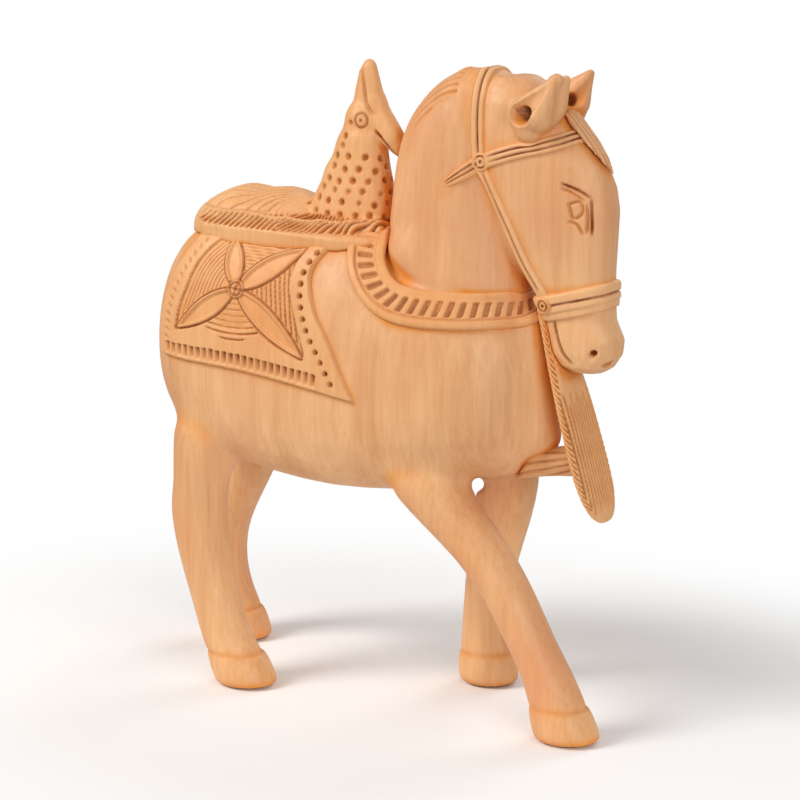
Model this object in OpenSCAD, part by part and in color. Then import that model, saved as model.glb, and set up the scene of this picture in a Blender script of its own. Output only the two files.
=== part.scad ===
// Carved wooden horse in walking stance, with harness, flowered saddle blanket,
// throat plume and a peacock on its back. Millimetres, nose along +X, +Z up.
// The origin is on the table, under the middle of the figure.

/* [Body] */
// Half of the body's width at the barrel
body_half_w = 30; // [27:0.5:32]
// Half of the neck's width above the collar
neck_half_w = 17; // [15:0.5:18]
// Half of the head's width at the cheeks
head_half_w = 13; // [11.5:0.5:14]

/* [Legs] */
// Distance from the middle plane to a front hoof
fore_track = 20; // [18:0.5:21]
// Distance from the middle plane to a hind hoof
hind_track = 22; // [20:0.5:23]
// Thickness of the legs, where 1 is the carved figure's own
leg_girth = 1; // [0.9:0.05:1.1]
// Height of each hoof
hoof_h = 11; // [9:0.5:12]
// Half of the width of a hoof's sole
sole_half_w = 10; // [9:0.5:10.5]

/* [Ears and tail] */
// Length of each ear, base to tip
ear_length = 20.5; // [17:0.5:21]
// Depth of the hollow in each ear
ear_hollow = 8; // [5:0.5:9]
// Width of the tail
tail_w = 9; // [7:0.5:11]

/* [Harness] */
// Width of the bridle's straps
strap_w = 4.6; // [3.6:0.2:5.4]
// How far the straps stand proud of the head
strap_rise = 1; // [0.6:0.1:1.4]
// Height of the noseband
noseband_h = 6; // [5:0.5:7]
// How far the noseband stands proud of the muzzle
noseband_rise = 1.6; // [1:0.1:2]
// Diameter of the round bosses where straps meet
boss_d = 6; // [5:0.2:7]
// Height of the collar at the neck's base
collar_h = 10; // [8:0.5:12]
// How far the collar stands proud
collar_rise = 1.8; // [1.2:0.1:2.4]

/* [Saddle blanket] */
// How far the blanket stands proud of the flank
blanket_rise = 1.4; // [1:0.1:1.8]
// How far the flower stands proud of the blanket's field
flower_rise = 0.8; // [0.5:0.1:1.2]
// Length of each flower petal
petal_length = 26; // [22:0.5:27]

/* [Peacock] */
// Half of the peacock's width at the breast
bird_half_w = 10; // [8:0.5:11]
// Half of the train's width where it lies on the back
train_half_w = 18; // [15:0.5:18]
// Height of the crest above the bird's head
crest_h = 15.5; // [12:0.5:16]

/* [Throat plume] */
// Width of the plume across its fluted face
plume_w = 22; // [18:0.5:23]
// Thickness of the plume
plume_t = 6; // [5:0.5:7]

/* [Hidden] */

// Slides the whole figure along X so that its box is centred on the origin
centre_shift = 8.4;
// Points around a large section and around a small one
large_count = 28;
small_count = 16;
// Thickness of the flat sole under each hoof
sole_t = 1;
// Smooth steps between two key sections
fine_steps = 2;

// Body sections along X: place, underside, top, half width, squareness
torso_rows = [
    [-88, 102, 130, 8, 2], [-86, 91, 139, 18, 2.1], [-80, 82, 147, 24, 2.3],
    [-71, 77, 152, 27.5, 2.6], [-57, 73, 154, 29, 2.9], [-40, 70, 154, 29.5, 3],
    [-20, 68.5, 153.5, 30, 3], [0, 69.5, 152, 29.5, 2.8], [18, 72, 148, 28, 2.5],
    [31, 75, 142, 25, 2.3], [41, 78, 134, 20, 2.1], [46, 85, 125, 13.5, 2],
    [48.5, 94, 116, 6, 2]];
// Neck sections upward: height, back, front, half width, squareness
neck_rows = [
    [116, -4, 38, 14, 2], [124, -7, 41, 18, 2], [134, -7.5, 43.5, 19.6, 2],
    [143, -6, 43, 18.6, 2], [152, -4.6, 41.5, 17.6, 2], [162, -3.2, 40, 17, 2],
    [172, -2.2, 38.5, 16.2, 2], [182, 0, 38, 15.2, 2], [190, 3.5, 38, 14, 2],
    [197, 9, 37.5, 12.2, 2], [202, 15, 36.5, 9.8, 2], [205.4, 23, 34, 5.5, 2]];
// Head sections upward: height, back, front, half width, squareness, front narrowing
head_rows = [
    [113.6, 59, 69, 4.5, 2.2, 0], [115.6, 55, 72.4, 7, 2.4, 0.02], [119.5, 53, 74.8, 8.6, 2.6, 0.05],
    [124, 52.5, 75.2, 9, 2.8, 0.08], [130, 51, 72.5, 8.8, 2.8, 0.1], [138, 47.5, 72, 9.4, 3, 0.16],
    [146, 42.5, 72, 10.6, 3.2, 0.2], [155, 37.5, 72.5, 11.8, 3.2, 0.22],
    [164, 33.5, 73, 12.7, 3.2, 0.24], [171, 30, 72, 13.1, 3.1, 0.25], [177.4, 27.6, 69.3, 13.3, 2.9, 0.24],
    [184, 26.4, 64.5, 13.2, 2.6, 0.22], [190, 26, 59, 12.8, 2.4, 0.18], [196, 26, 54.5, 12, 2.3, 0.12],
    [201, 26, 50, 10, 2.2, 0.08], [204, 27.5, 45, 7, 2, 0]];

// Leg sections downward: height, x, distance from the middle plane, half length, half width
right_fore_rows = [
    [98, 5, 12, 14, 9], [86, 8, 14.5, 15, 10.5], [76, 14.5, 16.5, 14.4, 11], [65, 26, 17, 12.8, 10.5],
    [54, 38.6, 18.5, 10.4, 9.6], [43, 47.6, 19.5, 9, 8.8], [31, 54.8, 20, 8.6, 8.4],
    [20, 61.2, 20, 8.8, 8.6], [hoof_h, 65, 20, 9.8, 9.2]];
left_fore_rows = [
    [94, 27, 11, 12, 8], [82, 27, 14, 11.5, 9.6], [71, 27, 16.5, 10.8, 9.6], [57, 24, 18, 10, 9.2],
    [42, 20, 19, 8.8, 8.6], [28, 17.6, 20, 8.2, 8.4], [16, 17, 20, 8.4, 8.6],
    [hoof_h, 17.4, 20, 9.6, 9.2]];
right_hind_rows = [
    [112, -62, 10, 16, 9], [98, -64, 14, 15.5, 11.4], [84, -66, 18.5, 12.6, 11.2],
    [68, -67.5, 21, 9.8, 9.6], [57, -68.3, 21.5, 10, 9.2], [43, -66, 22.2, 9.2, 8.8],
    [29, -61.8, 22.4, 8.8, 8.6], [17, -58.2, 22.2, 8.8, 8.6], [hoof_h, -54.6, 22, 10.2, 9.2]];
left_hind_rows = [
    [110, -64, 9, 15, 9], [96, -66, 13, 15, 11.4], [82, -69, 17, 12, 11],
    [69, -73.5, 20, 9.8, 9.8], [57, -79, 21, 9, 9.2], [47, -84.5, 21.5, 8.8, 9],
    [37, -88.4, 22, 8.6, 8.8], [26, -88.6, 22, 8.4, 8.6], [17, -86, 22, 8.4, 8.6],
    [hoof_h, -83.6, 22, 9.4, 9.2]];
// Sole centres along X, and half of each sole's length
right_fore_sole = [68.6, 12];
left_fore_sole = [18.4, 11];
right_hind_sole = [-49.8, 12];
left_hind_sole = [-80.2, 11];

// Peacock sections upward: height, back, front, half width
bird_rows = [
    [146, -41, -3, 12], [152, -39, -4, 11.4], [158, -34.5, -5, 10.2], [165, -30, -6.5, 9],
    [172, -27, -8, 7.8], [179, -24.5, -9, 7], [184, -23, -9.4, 6.6]];
// Train sections along X: place, top, half width
train_rows = [
    [-78, 154, 7], [-75.5, 157, 12], [-70, 160.5, 15.5], [-62, 163.5, 17.5], [-55, 162.6, 18],
    [-47, 163.4, 17.5], [-40, 162, 16], [-34, 159.5, 14], [-28, 156, 12]];
// Plume sections downward: height, middle, share of full width, share of full thickness
plume_rows = [
    [131, 49.4, 0.42, 0.8], [124, 52.2, 0.58, 0.9], [114, 55.6, 0.78, 1], [102, 59.4, 0.94, 1],
    [90, 63, 1, 1], [80, 66, 1, 1], [73, 68.2, 0.86, 0.9], [68.5, 69.6, 0.6, 0.7], [66.5, 70.2, 0.3, 0.5]];

// A smooth curve through the key rows
function through(rows, t) =
    let (last = len(rows) - 1)
    let (i = min(floor(t), last - 1))
    let (f = t - i)
    let (a = rows[max(i - 1, 0)])
    let (b = rows[i])
    let (c = rows[i + 1])
    let (d = rows[min(i + 2, last)])
    0.5 * (2 * b + (c - a) * f + (2 * a - 5 * b + 4 * c - d) * f * f
        + (3 * b - a - 3 * c + d) * f * f * f);
function all_through(rows, steps) =
    [for (k = [0 : (len(rows) - 1) * steps]) through(rows, k / steps)];

// Rounded-square outline: sideways and upward shares at one angle
function around(angle, power) = [
    sign(cos(angle)) * pow(abs(cos(angle)), 2 / power),
    sign(sin(angle)) * pow(abs(sin(angle)), 2 / power)];

function body_ring(row, grow) =
    [for (k = [0 : large_count - 1])
        let (share = around(k * 360 / large_count, row[4]))
        let (half_h = (row[2] - row[1]) / 2 + grow)
        [row[0],
            share[0] * (row[3] * body_half_w / 30 + grow) * (1 - 0.1 * share[1]),
            (row[1] + row[2]) / 2 + share[1] * half_h]];

function upright_ring(row, grow, width_share, count, narrowing) =
    [for (k = [0 : count - 1])
        let (share = around(k * 360 / count, row[4]))
        [(row[1] + row[2]) / 2 + share[0] * ((row[2] - row[1]) / 2 + grow),
            share[1] * (row[3] * width_share + grow) * (1 - narrowing * (0.4 + share[0])),
            row[0]]];

function leg_ring(row, side) =
    [for (k = [0 : small_count - 1])
        let (angle = k * 360 / small_count)
        [row[1] + cos(angle) * row[3] * leg_girth,
            side * row[2] + sin(angle) * row[4] * leg_girth,
            row[0]]];

// Wraps one convex skin around each pair of neighbouring rings
module wrap(rings) {
    count = len(rings[0]);
    for (k = [0 : len(rings) - 2])
        hull()
            polyhedron(concat(rings[k], rings[k + 1]),
                [[for (i = [0 : count - 1]) i], [for (i = [0 : count - 1]) i + count]]);
}

module placed() {
    translate([centre_shift, 0, 0]) children();
}

// Key rows with the first and last moved outward, so that a swollen form grows at its ends too
function stretched(rows, grow) =
    let (last = len(rows) - 1)
    [for (k = [0 : last])
        let (row = rows[k])
        concat([row[0] + grow * pow(2 * k / last - 1, 9)], [for (j = [1 : len(row) - 1]) row[j]])];

module torso_form(grow = 0) {
    wrap([for (row = stretched(all_through(torso_rows, fine_steps), grow)) body_ring(row, grow)]);
}

module neck_form(grow = 0) {
    wrap([for (row = stretched(all_through(neck_rows, fine_steps), grow))
        upright_ring(row, grow, neck_half_w / 17, large_count, 0)]);
}

module head_form(grow = 0) {
    wrap([for (row = stretched(head_rows, grow))
        upright_ring(row, grow, head_half_w / 13, large_count, row[5])]);
}

module leg_form(rows, side, track, base_track) {
    wrap([for (row = all_through(rows, fine_steps))
        leg_ring([row[0], row[1], row[2] + track - base_track, row[3], row[4]], side)]);
}

// A flat outline in the side view, cut through the whole width on one side
module side_slab(side) {
    translate([0, side > 0 ? 50 : 0, 0]) rotate([90, 0, 0]) linear_extrude(50) children();
}

// A run of discs joined into one strip in the side view
module strip(points, width) {
    for (k = [0 : len(points) - 2])
        hull() {
            translate(points[k]) circle(d = width, $fn = 16);
            translate(points[k + 1]) circle(d = width, $fn = 16);
        }
}

module torso() {
    color("burlywood") placed() torso_form();
}

module neck() {
    color("wheat") placed() difference() {
        neck_form();
        torso_form();
    }
}

module head() {
    color("tan") placed() difference() {
        head_form();
        neck_form();
        for (side = [-1, 1]) nostril(side);
        for (side = [-1, 1]) ear_seat(side);
    }
}

module nostril(side) {
    translate([69, side * 8.6, 120]) rotate([90, 0, 0]) cylinder(h = 4, d = 2.2, center = true, $fn = 16);
}

// One ear: a tapering leaf that leans forward, hollowed on its outer front
module ear_leaf(side) {
    translate([48, side * 8.5, 189]) rotate([side * 4, 33, 0]) {
        hull() {
            sphere(d = 12.5, $fn = 20);
            translate([0.5, 0, ear_length * 0.45]) scale([1, 0.7, 1]) sphere(d = 12.4, $fn = 20);
        }
        hull() {
            translate([0.5, 0, ear_length * 0.45]) scale([1, 0.7, 1]) sphere(d = 12.4, $fn = 20);
            translate([1, 0, ear_length - 1.4]) sphere(d = 2.8, $fn = 12);
        }
    }
}

module ear_seat(side) {
    translate([48, side * 8.5, 189]) sphere(d = 8, $fn = 20);
}

module ear(side) {
    placed() difference() {
        union() {
            ear_leaf(side);
            ear_seat(side);
        }
        difference() {
            head_form();
            ear_seat(side);
        }
        translate([48, side * 8.5, 189]) rotate([side * 4, 33, 0])
            hull() {
                translate([3, side * 5, 4.5]) sphere(d = ear_hollow, $fn = 16);
                translate([4, side * 5, ear_length * 0.6]) sphere(d = 3, $fn = 12);
            }
        for (k = [0 : 5]) ear_notch(side, k);
    }
}

// Small cuts that flute the back edge of an ear
module ear_notch(side, k) {
    hull() {
        translate([39.2, side * (4.5 + k), 193 + k]) sphere(d = 0.5, $fn = 6);
        translate([44, side * (4.5 + k), 201 + k]) sphere(d = 0.5, $fn = 6);
    }
}

module right_ear() {
    color("navajowhite") ear(-1);
}

module left_ear() {
    color("navajowhite") ear(1);
}

// A lock of hair that lies down the forehead between the ears
module forelock() {
    color("peru") placed() difference() {
        lock_form();
        head_form();
        head_form(strap_rise);
        ear_leaf(-1);
        ear_leaf(1);
    }
}

module lock_form() {
    wrap([
        lock_ring(201, 49, 4.2, 1.8), lock_ring(197, 53.2, 5, 2.2), lock_ring(193, 57, 5.4, 2.4),
        lock_ring(189, 60.4, 5.4, 2.4), lock_ring(185, 64, 5, 2.4), lock_ring(181, 67.2, 4.2, 2.2),
        lock_ring(178, 69.2, 3, 2), lock_ring(176, 70.4, 1.8, 1.8), lock_ring(175, 70.8, 1, 1.4)]);
}

function lock_ring(z, x, half_w, half_t) =
    [for (k = [0 : 15]) [x + cos(k * 22.5) * half_t, sin(k * 22.5) * half_w, z]];

// Hair along the crest of the neck
module mane() {
    color("peru") placed() difference() {
        intersection() {
            neck_form(1.4);
            rotate([90, 0, 0]) linear_extrude(60, center = true)
                polygon([[-12, 155.5], [1.5, 155.5], [2.5, 166], [5, 179], [9.5, 189], [16, 195.5],
                    [22.5, 199], [22, 212], [-2, 212], [-12, 190]]);
        }
        neck_form();
    }
}

module tail_form() {
    wrap([
        tail_ring(146, -78, 0.5, 3), tail_ring(142, -82, 0.75, 4), tail_ring(136, -84.5, 0.9, 4.5),
        tail_ring(126, -85.5, 1, 5), tail_ring(114, -85.5, 1, 5), tail_ring(102, -84.5, 1, 5),
        tail_ring(90, -82.5, 0.95, 5), tail_ring(80, -80, 0.8, 4.5), tail_ring(72, -77.5, 0.5, 3.5),
        tail_ring(67, -75.5, 0.25, 2)]);
}

function tail_ring(z, x, width_share, half_t) =
    [for (k = [0 : 15]) [x + cos(k * 22.5) * half_t, sin(k * 22.5) * tail_w / 2 * width_share, z]];

module tail() {
    color("peru") placed() difference() {
        tail_form();
        torso_form();
        leg_form(right_hind_rows, -1, hind_track, 22);
        leg_form(left_hind_rows, 1, hind_track, 22);
    }
}

module right_foreleg() {
    color("burlywood") placed() difference() {
        leg_form(right_fore_rows, -1, fore_track, 20);
        torso_form();
    }
}

module left_foreleg() {
    color("burlywood") placed() difference() {
        leg_form(left_fore_rows, 1, fore_track, 20);
        torso_form();
        neck_form();
    }
}

module right_hind_leg() {
    color("burlywood") placed() difference() {
        leg_form(right_hind_rows, -1, hind_track, 22);
        torso_form();
    }
}

module left_hind_leg() {
    color("burlywood") placed() difference() {
        leg_form(left_hind_rows, 1, hind_track, 22);
        torso_form();
    }
}

// One hoof: a thin flat sole, and a wall that leans back up to the leg's foot
module hoof(rows, side, sole, track) {
    foot = rows[len(rows) - 1];
    placed() {
        linear_extrude(sole_t)
            polygon([for (p = hoof_ring(0, sole[0], side * track, sole[1], sole_half_w)) [p[0], p[1]]]);
        hull()
            polyhedron(concat(
                hoof_ring(sole_t, sole[0], side * track, sole[1], sole_half_w),
                hoof_ring(hoof_h, foot[1], side * track,
                    (foot[3] + 0.5) * leg_girth, (foot[4] + 0.3) * leg_girth)),
                [[for (i = [0 : 23]) i], [for (i = [0 : 23]) i + 24]]);
    }
}

function hoof_ring(z, x, y, half_l, half_w) =
    [for (k = [0 : 23]) [x + cos(k * 15) * half_l, y + sin(k * 15) * half_w, z]];

module right_fore_hoof() {
    color("sienna") hoof(right_fore_rows, -1, right_fore_sole, fore_track);
}

module left_fore_hoof() {
    color("sienna") hoof(left_fore_rows, 1, left_fore_sole, fore_track);
}

module right_hind_hoof() {
    color("sienna") hoof(right_hind_rows, -1, right_hind_sole, hind_track);
}

module left_hind_hoof() {
    color("sienna") hoof(left_hind_rows, 1, left_hind_sole, hind_track);
}

// Outline of one blanket side: straight hem, hollow front edge with a sharp tip
module blanket_outline() {
    polygon([[-85, 160], [-85, 110], [-74, 109.3], [-60, 108.8], [-47, 108], [-24, 105.4], [-3, 102.4],
        [-8, 111.5], [-13.2, 121], [-18.2, 128.7], [-21, 136], [-21.8, 141], [-20, 146], [-16, 152],
        [-13, 160]]);
}

module blanket(side) {
    placed() difference() {
        intersection() {
            torso_form(blanket_rise);
            side_slab(side) blanket_outline();
            translate([-77, side > 0 ? 0 : -50, 90]) cube([90, 50, 80]);
        }
        torso_form();
        ledge_form();
        leg_form(right_hind_rows, -1, hind_track, 22);
        leg_form(left_hind_rows, 1, hind_track, 22);
        tail_form();
    }
}

module right_blanket() {
    color("olivedrab") blanket(-1);
}

module left_blanket() {
    color("olivedrab") blanket(1);
}

// Four pointed petals around a small boss, seen from the side
module flower_outline() {
    translate([-48.4, 133.5]) {
        circle(d = 5, $fn = 20);
        for (petal = [[105, 0.7], [31, 1.05], [-36, 1.25], [211, 1.05]])
            rotate(petal[0]) scale([petal[1], 1]) petal_outline();
    }
}

module petal_outline() {
    reach = petal_length;
    polygon([[0, 0], [reach * 0.2, 2.6], [reach * 0.45, 3.8], [reach * 0.7, 3], [reach * 0.88, 1.4],
        [reach, 0], [reach * 0.88, -1.4], [reach * 0.7, -3], [reach * 0.45, -3.8], [reach * 0.2, -2.6]]);
}

module flower(side) {
    placed() difference() {
        intersection() {
            torso_form(blanket_rise + flower_rise);
            side_slab(side) intersection() {
                flower_outline();
                translate([-75, 103]) square([60, 42]);
            }
        }
        torso_form(blanket_rise);
        ledge_form();
    }
}

module right_flower() {
    color("gold") flower(-1);
}

module left_flower() {
    color("gold") flower(1);
}

// A low pad along the back that carries the peacock
module ledge_form() {
    wrap([
        ledge_ring(-77, 8, 150), ledge_ring(-74, 13, 151.5), ledge_ring(-67, 18, 153),
        ledge_ring(-56, 20.5, 153.5), ledge_ring(-44, 21, 153.5), ledge_ring(-30, 21, 153),
        ledge_ring(-16, 20, 152.5), ledge_ring(-6, 17, 152), ledge_ring(0, 12, 151.5), ledge_ring(3, 6, 151)]);
}

function ledge_ring(x, half_w, top) =
    [[x, -half_w, 140], [x, -half_w, top - 1.2], [x, -half_w + 1.6, top - 0.2], [x, -half_w / 2, top],
        [x, half_w / 2, top], [x, half_w - 1.6, top - 0.2], [x, half_w, top - 1.2], [x, half_w, 140]];

module saddle_ledge() {
    color("darkkhaki") placed() difference() {
        ledge_form();
        torso_form();
        neck_form();
        bird_form();
    }
}

module bird_form() {
    wrap([for (row = all_through(bird_rows, fine_steps))
        upright_ring([row[0], row[1], row[2], row[3], 2], 0, bird_half_w / 10, small_count, 0)]);
}

module peacock_body() {
    color("mediumseagreen") placed() difference() {
        bird_form();
        torso_form();
        neck_form();
    }
}

module bird_head_form() {
    translate([-16.2, 0, 187]) scale([1, 0.9, 1]) sphere(r = 6.6, $fn = 28);
}

module peacock_head() {
    color("teal") placed() difference() {
        bird_head_form();
        wrap([for (row = all_through(bird_rows, fine_steps))
            upright_ring([row[0], row[1], row[2], row[3], 2], 0, bird_half_w / 10, small_count, 0)]);
    }
}

module beak_form() {
    wrap([
        beak_ring(0, 4.4, 4.2), beak_ring(0.15, 4.3, 4), beak_ring(0.3, 4.1, 3.7), beak_ring(0.45, 3.8, 3.3),
        beak_ring(0.6, 3.4, 2.9), beak_ring(0.75, 3, 2.5), beak_ring(0.88, 2.4, 2), beak_ring(1, 1.4, 1.2)]);
}

function beak_ring(f, half_h, half_w) =
    [for (k = [0 : 15])
        [-12 + 12 * f + sin(k * 22.5) * half_h * 0.64, cos(k * 22.5) * half_w,
            187.5 - 12 * f + sin(k * 22.5) * half_h * 0.77]];

module peacock_beak() {
    color("orange") placed() difference() {
        beak_form();
        bird_head_form();
        bird_form();
        neck_form(1.4);
    }
}

module crest_form() {
    wrap([
        crest_ring(0, -15, 5, 3.8), crest_ring(0.15, -15, 4.8, 3.6), crest_ring(0.3, -15, 4.4, 3.2),
        crest_ring(0.45, -14.9, 3.9, 2.8), crest_ring(0.6, -14.8, 3.4, 2.5), crest_ring(0.75, -14.7, 2.8, 2.1),
        crest_ring(0.88, -14.6, 2.2, 1.8), crest_ring(0.96, -14.6, 1.5, 1.2), crest_ring(1, -14.6, 0.7, 0.6)]);
}

function crest_ring(f, x, half_l, half_w) =
    [for (k = [0 : 15]) [x + cos(k * 22.5) * half_l, sin(k * 22.5) * half_w, 191 + crest_h * f]];

module peacock_crest() {
    color("turquoise") placed() difference() {
        crest_form();
        bird_head_form();
        beak_form();
    }
}

// The folded train: a low double mound that lies back from the breast
module train_form() {
    wrap([for (row = all_through(train_rows, fine_steps)) train_ring(row)]);
}

function train_ring(row) =
    [for (k = [0 : 16])
        let (share = around(k * 180 / 16, 2.3))
        [row[0], share[0] * row[2] * train_half_w / 18, 148 + share[1] * (row[1] - 148)]];

module peacock_train() {
    color("seagreen") placed() difference() {
        train_form();
        torso_form();
        ledge_form();
        bird_form();
    }
}

// The collar's middle line drops from the withers to the breast
function collar_z(x) = 132.5 + (x < 12 ? 0.05 * (x - 12) * (x - 12) : 0);

module collar_slab() {
    edge = [for (x = [-5 : 4.2 : 56]) [x, collar_z(x)]];
    rotate([90, 0, 0]) linear_extrude(80, center = true)
        polygon(concat([for (p = edge) [p[0], p[1] + collar_h / 2]],
            [for (k = [len(edge) - 1 : -1 : 0]) [edge[k][0], edge[k][1] - collar_h / 2]]));
}

module collar() {
    color("chocolate") placed() difference() {
        intersection() {
            union() {
                neck_form(collar_rise);
                torso_form(collar_rise);
            }
            collar_slab();
        }
        neck_form();
        torso_form();
        ledge_form();
        bird_form();
    }
}

// Straps of the bridle, each a strip of the swollen head cut to its line
module crown_strap_form() {
    difference() {
        intersection() {
            union() {
                head_form(strap_rise);
                neck_form(strap_rise);
            }
            union() {
                side_slab(-1) strip([[33, 178], [31, 186], [29, 194], [27.5, 200], [26.5, 206], [26, 212]], strap_w);
                side_slab(1) strip([[33, 178], [31, 186], [29, 194], [27.5, 200], [26.5, 206], [26, 212]], strap_w);
            }
        }
        head_form();
        neck_form();
        boss_hole(33, 178);
    }
}

module boss_hole(x, z) {
    translate([x, 0, z]) rotate([90, 0, 0]) cylinder(h = 60, d = boss_d, center = true, $fn = 32);
}

module crown_strap() {
    color("saddlebrown") placed() crown_strap_form();
}

module browband() {
    color("saddlebrown") placed() difference() {
        intersection() {
            head_form(strap_rise);
            union() {
                side_slab(-1) strip([[33, 178], [40, 182.5], [48, 185], [56, 185.5], [63, 184.5], [70, 183]], strap_w);
                side_slab(1) strip([[33, 178], [40, 182.5], [48, 185], [56, 185.5], [63, 184.5], [70, 183]], strap_w);
            }
        }
        head_form();
        neck_form();
        boss_hole(33, 178);
        crown_strap_form();
        ear_leaf(-1);
        ear_leaf(1);
    }
}

module cheek_strap(side) {
    placed() difference() {
        intersection() {
            head_form(strap_rise);
            side_slab(side) strip([[33, 178], [38, 167.5], [43.5, 156], [49, 145], [54, 136]], strap_w);
            translate([0, side > 0 ? 2 : -52, 100]) cube([90, 50, 100]);
        }
        head_form();
        neck_form();
        boss_hole(33, 178);
        boss_hole(54, 136.4);
        rotate([90, 0, 0]) linear_extrude(60, center = true)
            polygon([[40, 120], [90, 120], [90, 141 + noseband_h / 2], [40, 134.5 + noseband_h / 2]]);
    }
}

module right_cheek_strap() {
    color("saddlebrown") cheek_strap(-1);
}

module left_cheek_strap() {
    color("saddlebrown") cheek_strap(1);
}

module noseband_form() {
    difference() {
        intersection() {
            head_form(noseband_rise);
            rotate([90, 0, 0]) linear_extrude(60, center = true)
                polygon([[40, 134.5 - noseband_h / 2], [90, 141 - noseband_h / 2],
                    [90, 141 + noseband_h / 2], [40, 134.5 + noseband_h / 2]]);
        }
        head_form();
    }
}

module noseband() {
    color("saddlebrown") placed() difference() {
        noseband_form();
        boss_hole(54, 136.4);
        neck_form();
        plume_form();
    }
}

module throat_strap(side) {
    placed() difference() {
        intersection() {
            neck_form(strap_rise);
            side_slab(side) strip([[33, 178], [29, 175.5], [25, 172.5], [21.5, 169.5]], strap_w * 0.8);
        }
        neck_form();
        head_form(strap_rise);
        boss_hole(33, 178);
        for (k = [0 : 7]) strand_cut(side, k);
    }
}

// Fine cuts that split the strap's free end
module strand_cut(side, k) {
    hull() {
        translate([20, side * 18, 168 + k * 0.5]) sphere(d = 0.3, $fn = 6);
        translate([22, side * 18, 169 + k * 0.5]) sphere(d = 0.3, $fn = 6);
    }
}

module right_throat_strap() {
    color("saddlebrown") throat_strap(-1);
}

module left_throat_strap() {
    color("saddlebrown") throat_strap(1);
}

// Round bosses where straps meet: a shallow turned button on the cheek
module boss(side, x, z, rise) {
    placed() difference() {
        intersection() {
            union() {
                head_form(rise);
                neck_form(rise);
            }
            boss_hole(x, z);
            translate([0, side > 0 ? 0 : -50, 100]) cube([90, 50, 100]);
        }
        head_form();
        neck_form();
    }
}

module right_bridle_boss() {
    color("darkorange") boss(-1, 33, 178, strap_rise + 0.5);
}

module left_bridle_boss() {
    color("darkorange") boss(1, 33, 178, strap_rise + 0.5);
}

module right_nose_boss() {
    color("darkorange") boss(-1, 54, 136.4, noseband_rise + 0.3);
}

module left_nose_boss() {
    color("darkorange") boss(1, 54, 136.4, noseband_rise + 0.3);
}

module plume_form() {
    wrap([for (row = all_through(plume_rows, fine_steps)) plume_ring(row)]);
}

function plume_ring(row) =
    [for (k = [0 : small_count - 1])
        let (share = around(k * 360 / small_count, 2.6))
        [row[1] + share[0] * plume_t / 2 * row[3],
            share[1] * plume_w / 2 * row[2],
            row[0] - share[0] * plume_t / 2 * row[3] * 0.3]];

module throat_plume() {
    color("rosybrown") placed() difference() {
        plume_form();
        head_form();
        neck_form();
        torso_form();
    }
}

module plume_strut() {
    color("rosybrown") placed() difference() {
        wrap([
            strut_ring(34, 81, 7, 5.6), strut_ring(38, 81.5, 6.4, 5.4), strut_ring(42, 82, 5.8, 5.2),
            strut_ring(46, 82.6, 5.4, 5), strut_ring(50, 83.2, 5, 4.8), strut_ring(54, 83.8, 5, 4.8),
            strut_ring(58, 84.4, 5, 5), strut_ring(61, 85, 5, 5.2), strut_ring(64, 85.4, 5, 5.2)]);
        torso_form();
        plume_form();
        leg_form(left_fore_rows, 1, fore_track, 20);
    }
}

function strut_ring(x, z, half_w, half_h) =
    [for (k = [0 : 15]) [x, cos(k * 22.5) * half_w, z + sin(k * 22.5) * half_h]];

torso();
neck();
head();
right_ear();
left_ear();
forelock();
mane();
tail();
right_foreleg();
left_foreleg();
right_hind_leg();
left_hind_leg();
right_fore_hoof();
left_fore_hoof();
right_hind_hoof();
left_hind_hoof();
right_blanket();
left_blanket();
right_flower();
left_flower();
saddle_ledge();
collar();
crown_strap();
browband();
right_cheek_strap();
left_cheek_strap();
noseband();
right_throat_strap();
left_throat_strap();
right_bridle_boss();
left_bridle_boss();
right_nose_boss();
left_nose_boss();
throat_plume();
plume_strut();
peacock_body();
peacock_head();
peacock_beak();
peacock_crest();
peacock_train();
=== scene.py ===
import bpy, math
import numpy as np
import openvdb as vdb
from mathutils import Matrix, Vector
from mathutils.bvhtree import BVHTree


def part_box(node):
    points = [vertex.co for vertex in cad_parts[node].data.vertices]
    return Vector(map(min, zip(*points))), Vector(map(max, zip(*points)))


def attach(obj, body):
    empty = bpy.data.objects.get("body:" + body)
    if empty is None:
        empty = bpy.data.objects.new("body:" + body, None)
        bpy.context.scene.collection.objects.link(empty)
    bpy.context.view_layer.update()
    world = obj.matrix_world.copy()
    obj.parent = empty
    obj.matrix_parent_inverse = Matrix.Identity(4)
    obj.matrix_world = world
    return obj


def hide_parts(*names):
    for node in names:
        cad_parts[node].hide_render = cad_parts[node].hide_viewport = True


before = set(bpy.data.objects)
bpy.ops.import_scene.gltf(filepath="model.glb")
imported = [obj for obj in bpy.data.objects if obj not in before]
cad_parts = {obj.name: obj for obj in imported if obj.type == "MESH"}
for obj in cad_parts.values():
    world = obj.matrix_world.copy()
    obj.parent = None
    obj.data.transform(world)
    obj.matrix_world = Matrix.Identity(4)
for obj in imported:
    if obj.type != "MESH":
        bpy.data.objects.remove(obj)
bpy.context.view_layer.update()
rng = np.random.default_rng(11)

# Shapes are worked out in millimetres and become metres when a piece is made.
detail = dict(
    bodyStep=0.9,   # size of the grid that body and legs are smoothed on
    headStep=0.42,  # the same for neck, head and ears
    birdStep=0.4,
    plumeStep=0.4,
    patchStep=0.3,  # blanket, collar and straps
)


# Solid shapes as distance fields.
def cadSurface(node):
    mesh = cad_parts[node].data
    mesh.calc_loop_triangles()
    points = np.empty(len(mesh.vertices) * 3)
    mesh.vertices.foreach_get("co", points)
    faces = np.empty(len(mesh.loop_triangles) * 3, np.int32)
    mesh.loop_triangles.foreach_get("vertices", faces)
    return points.reshape(-1, 3) * 1000, faces.reshape(-1, 3)


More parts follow.
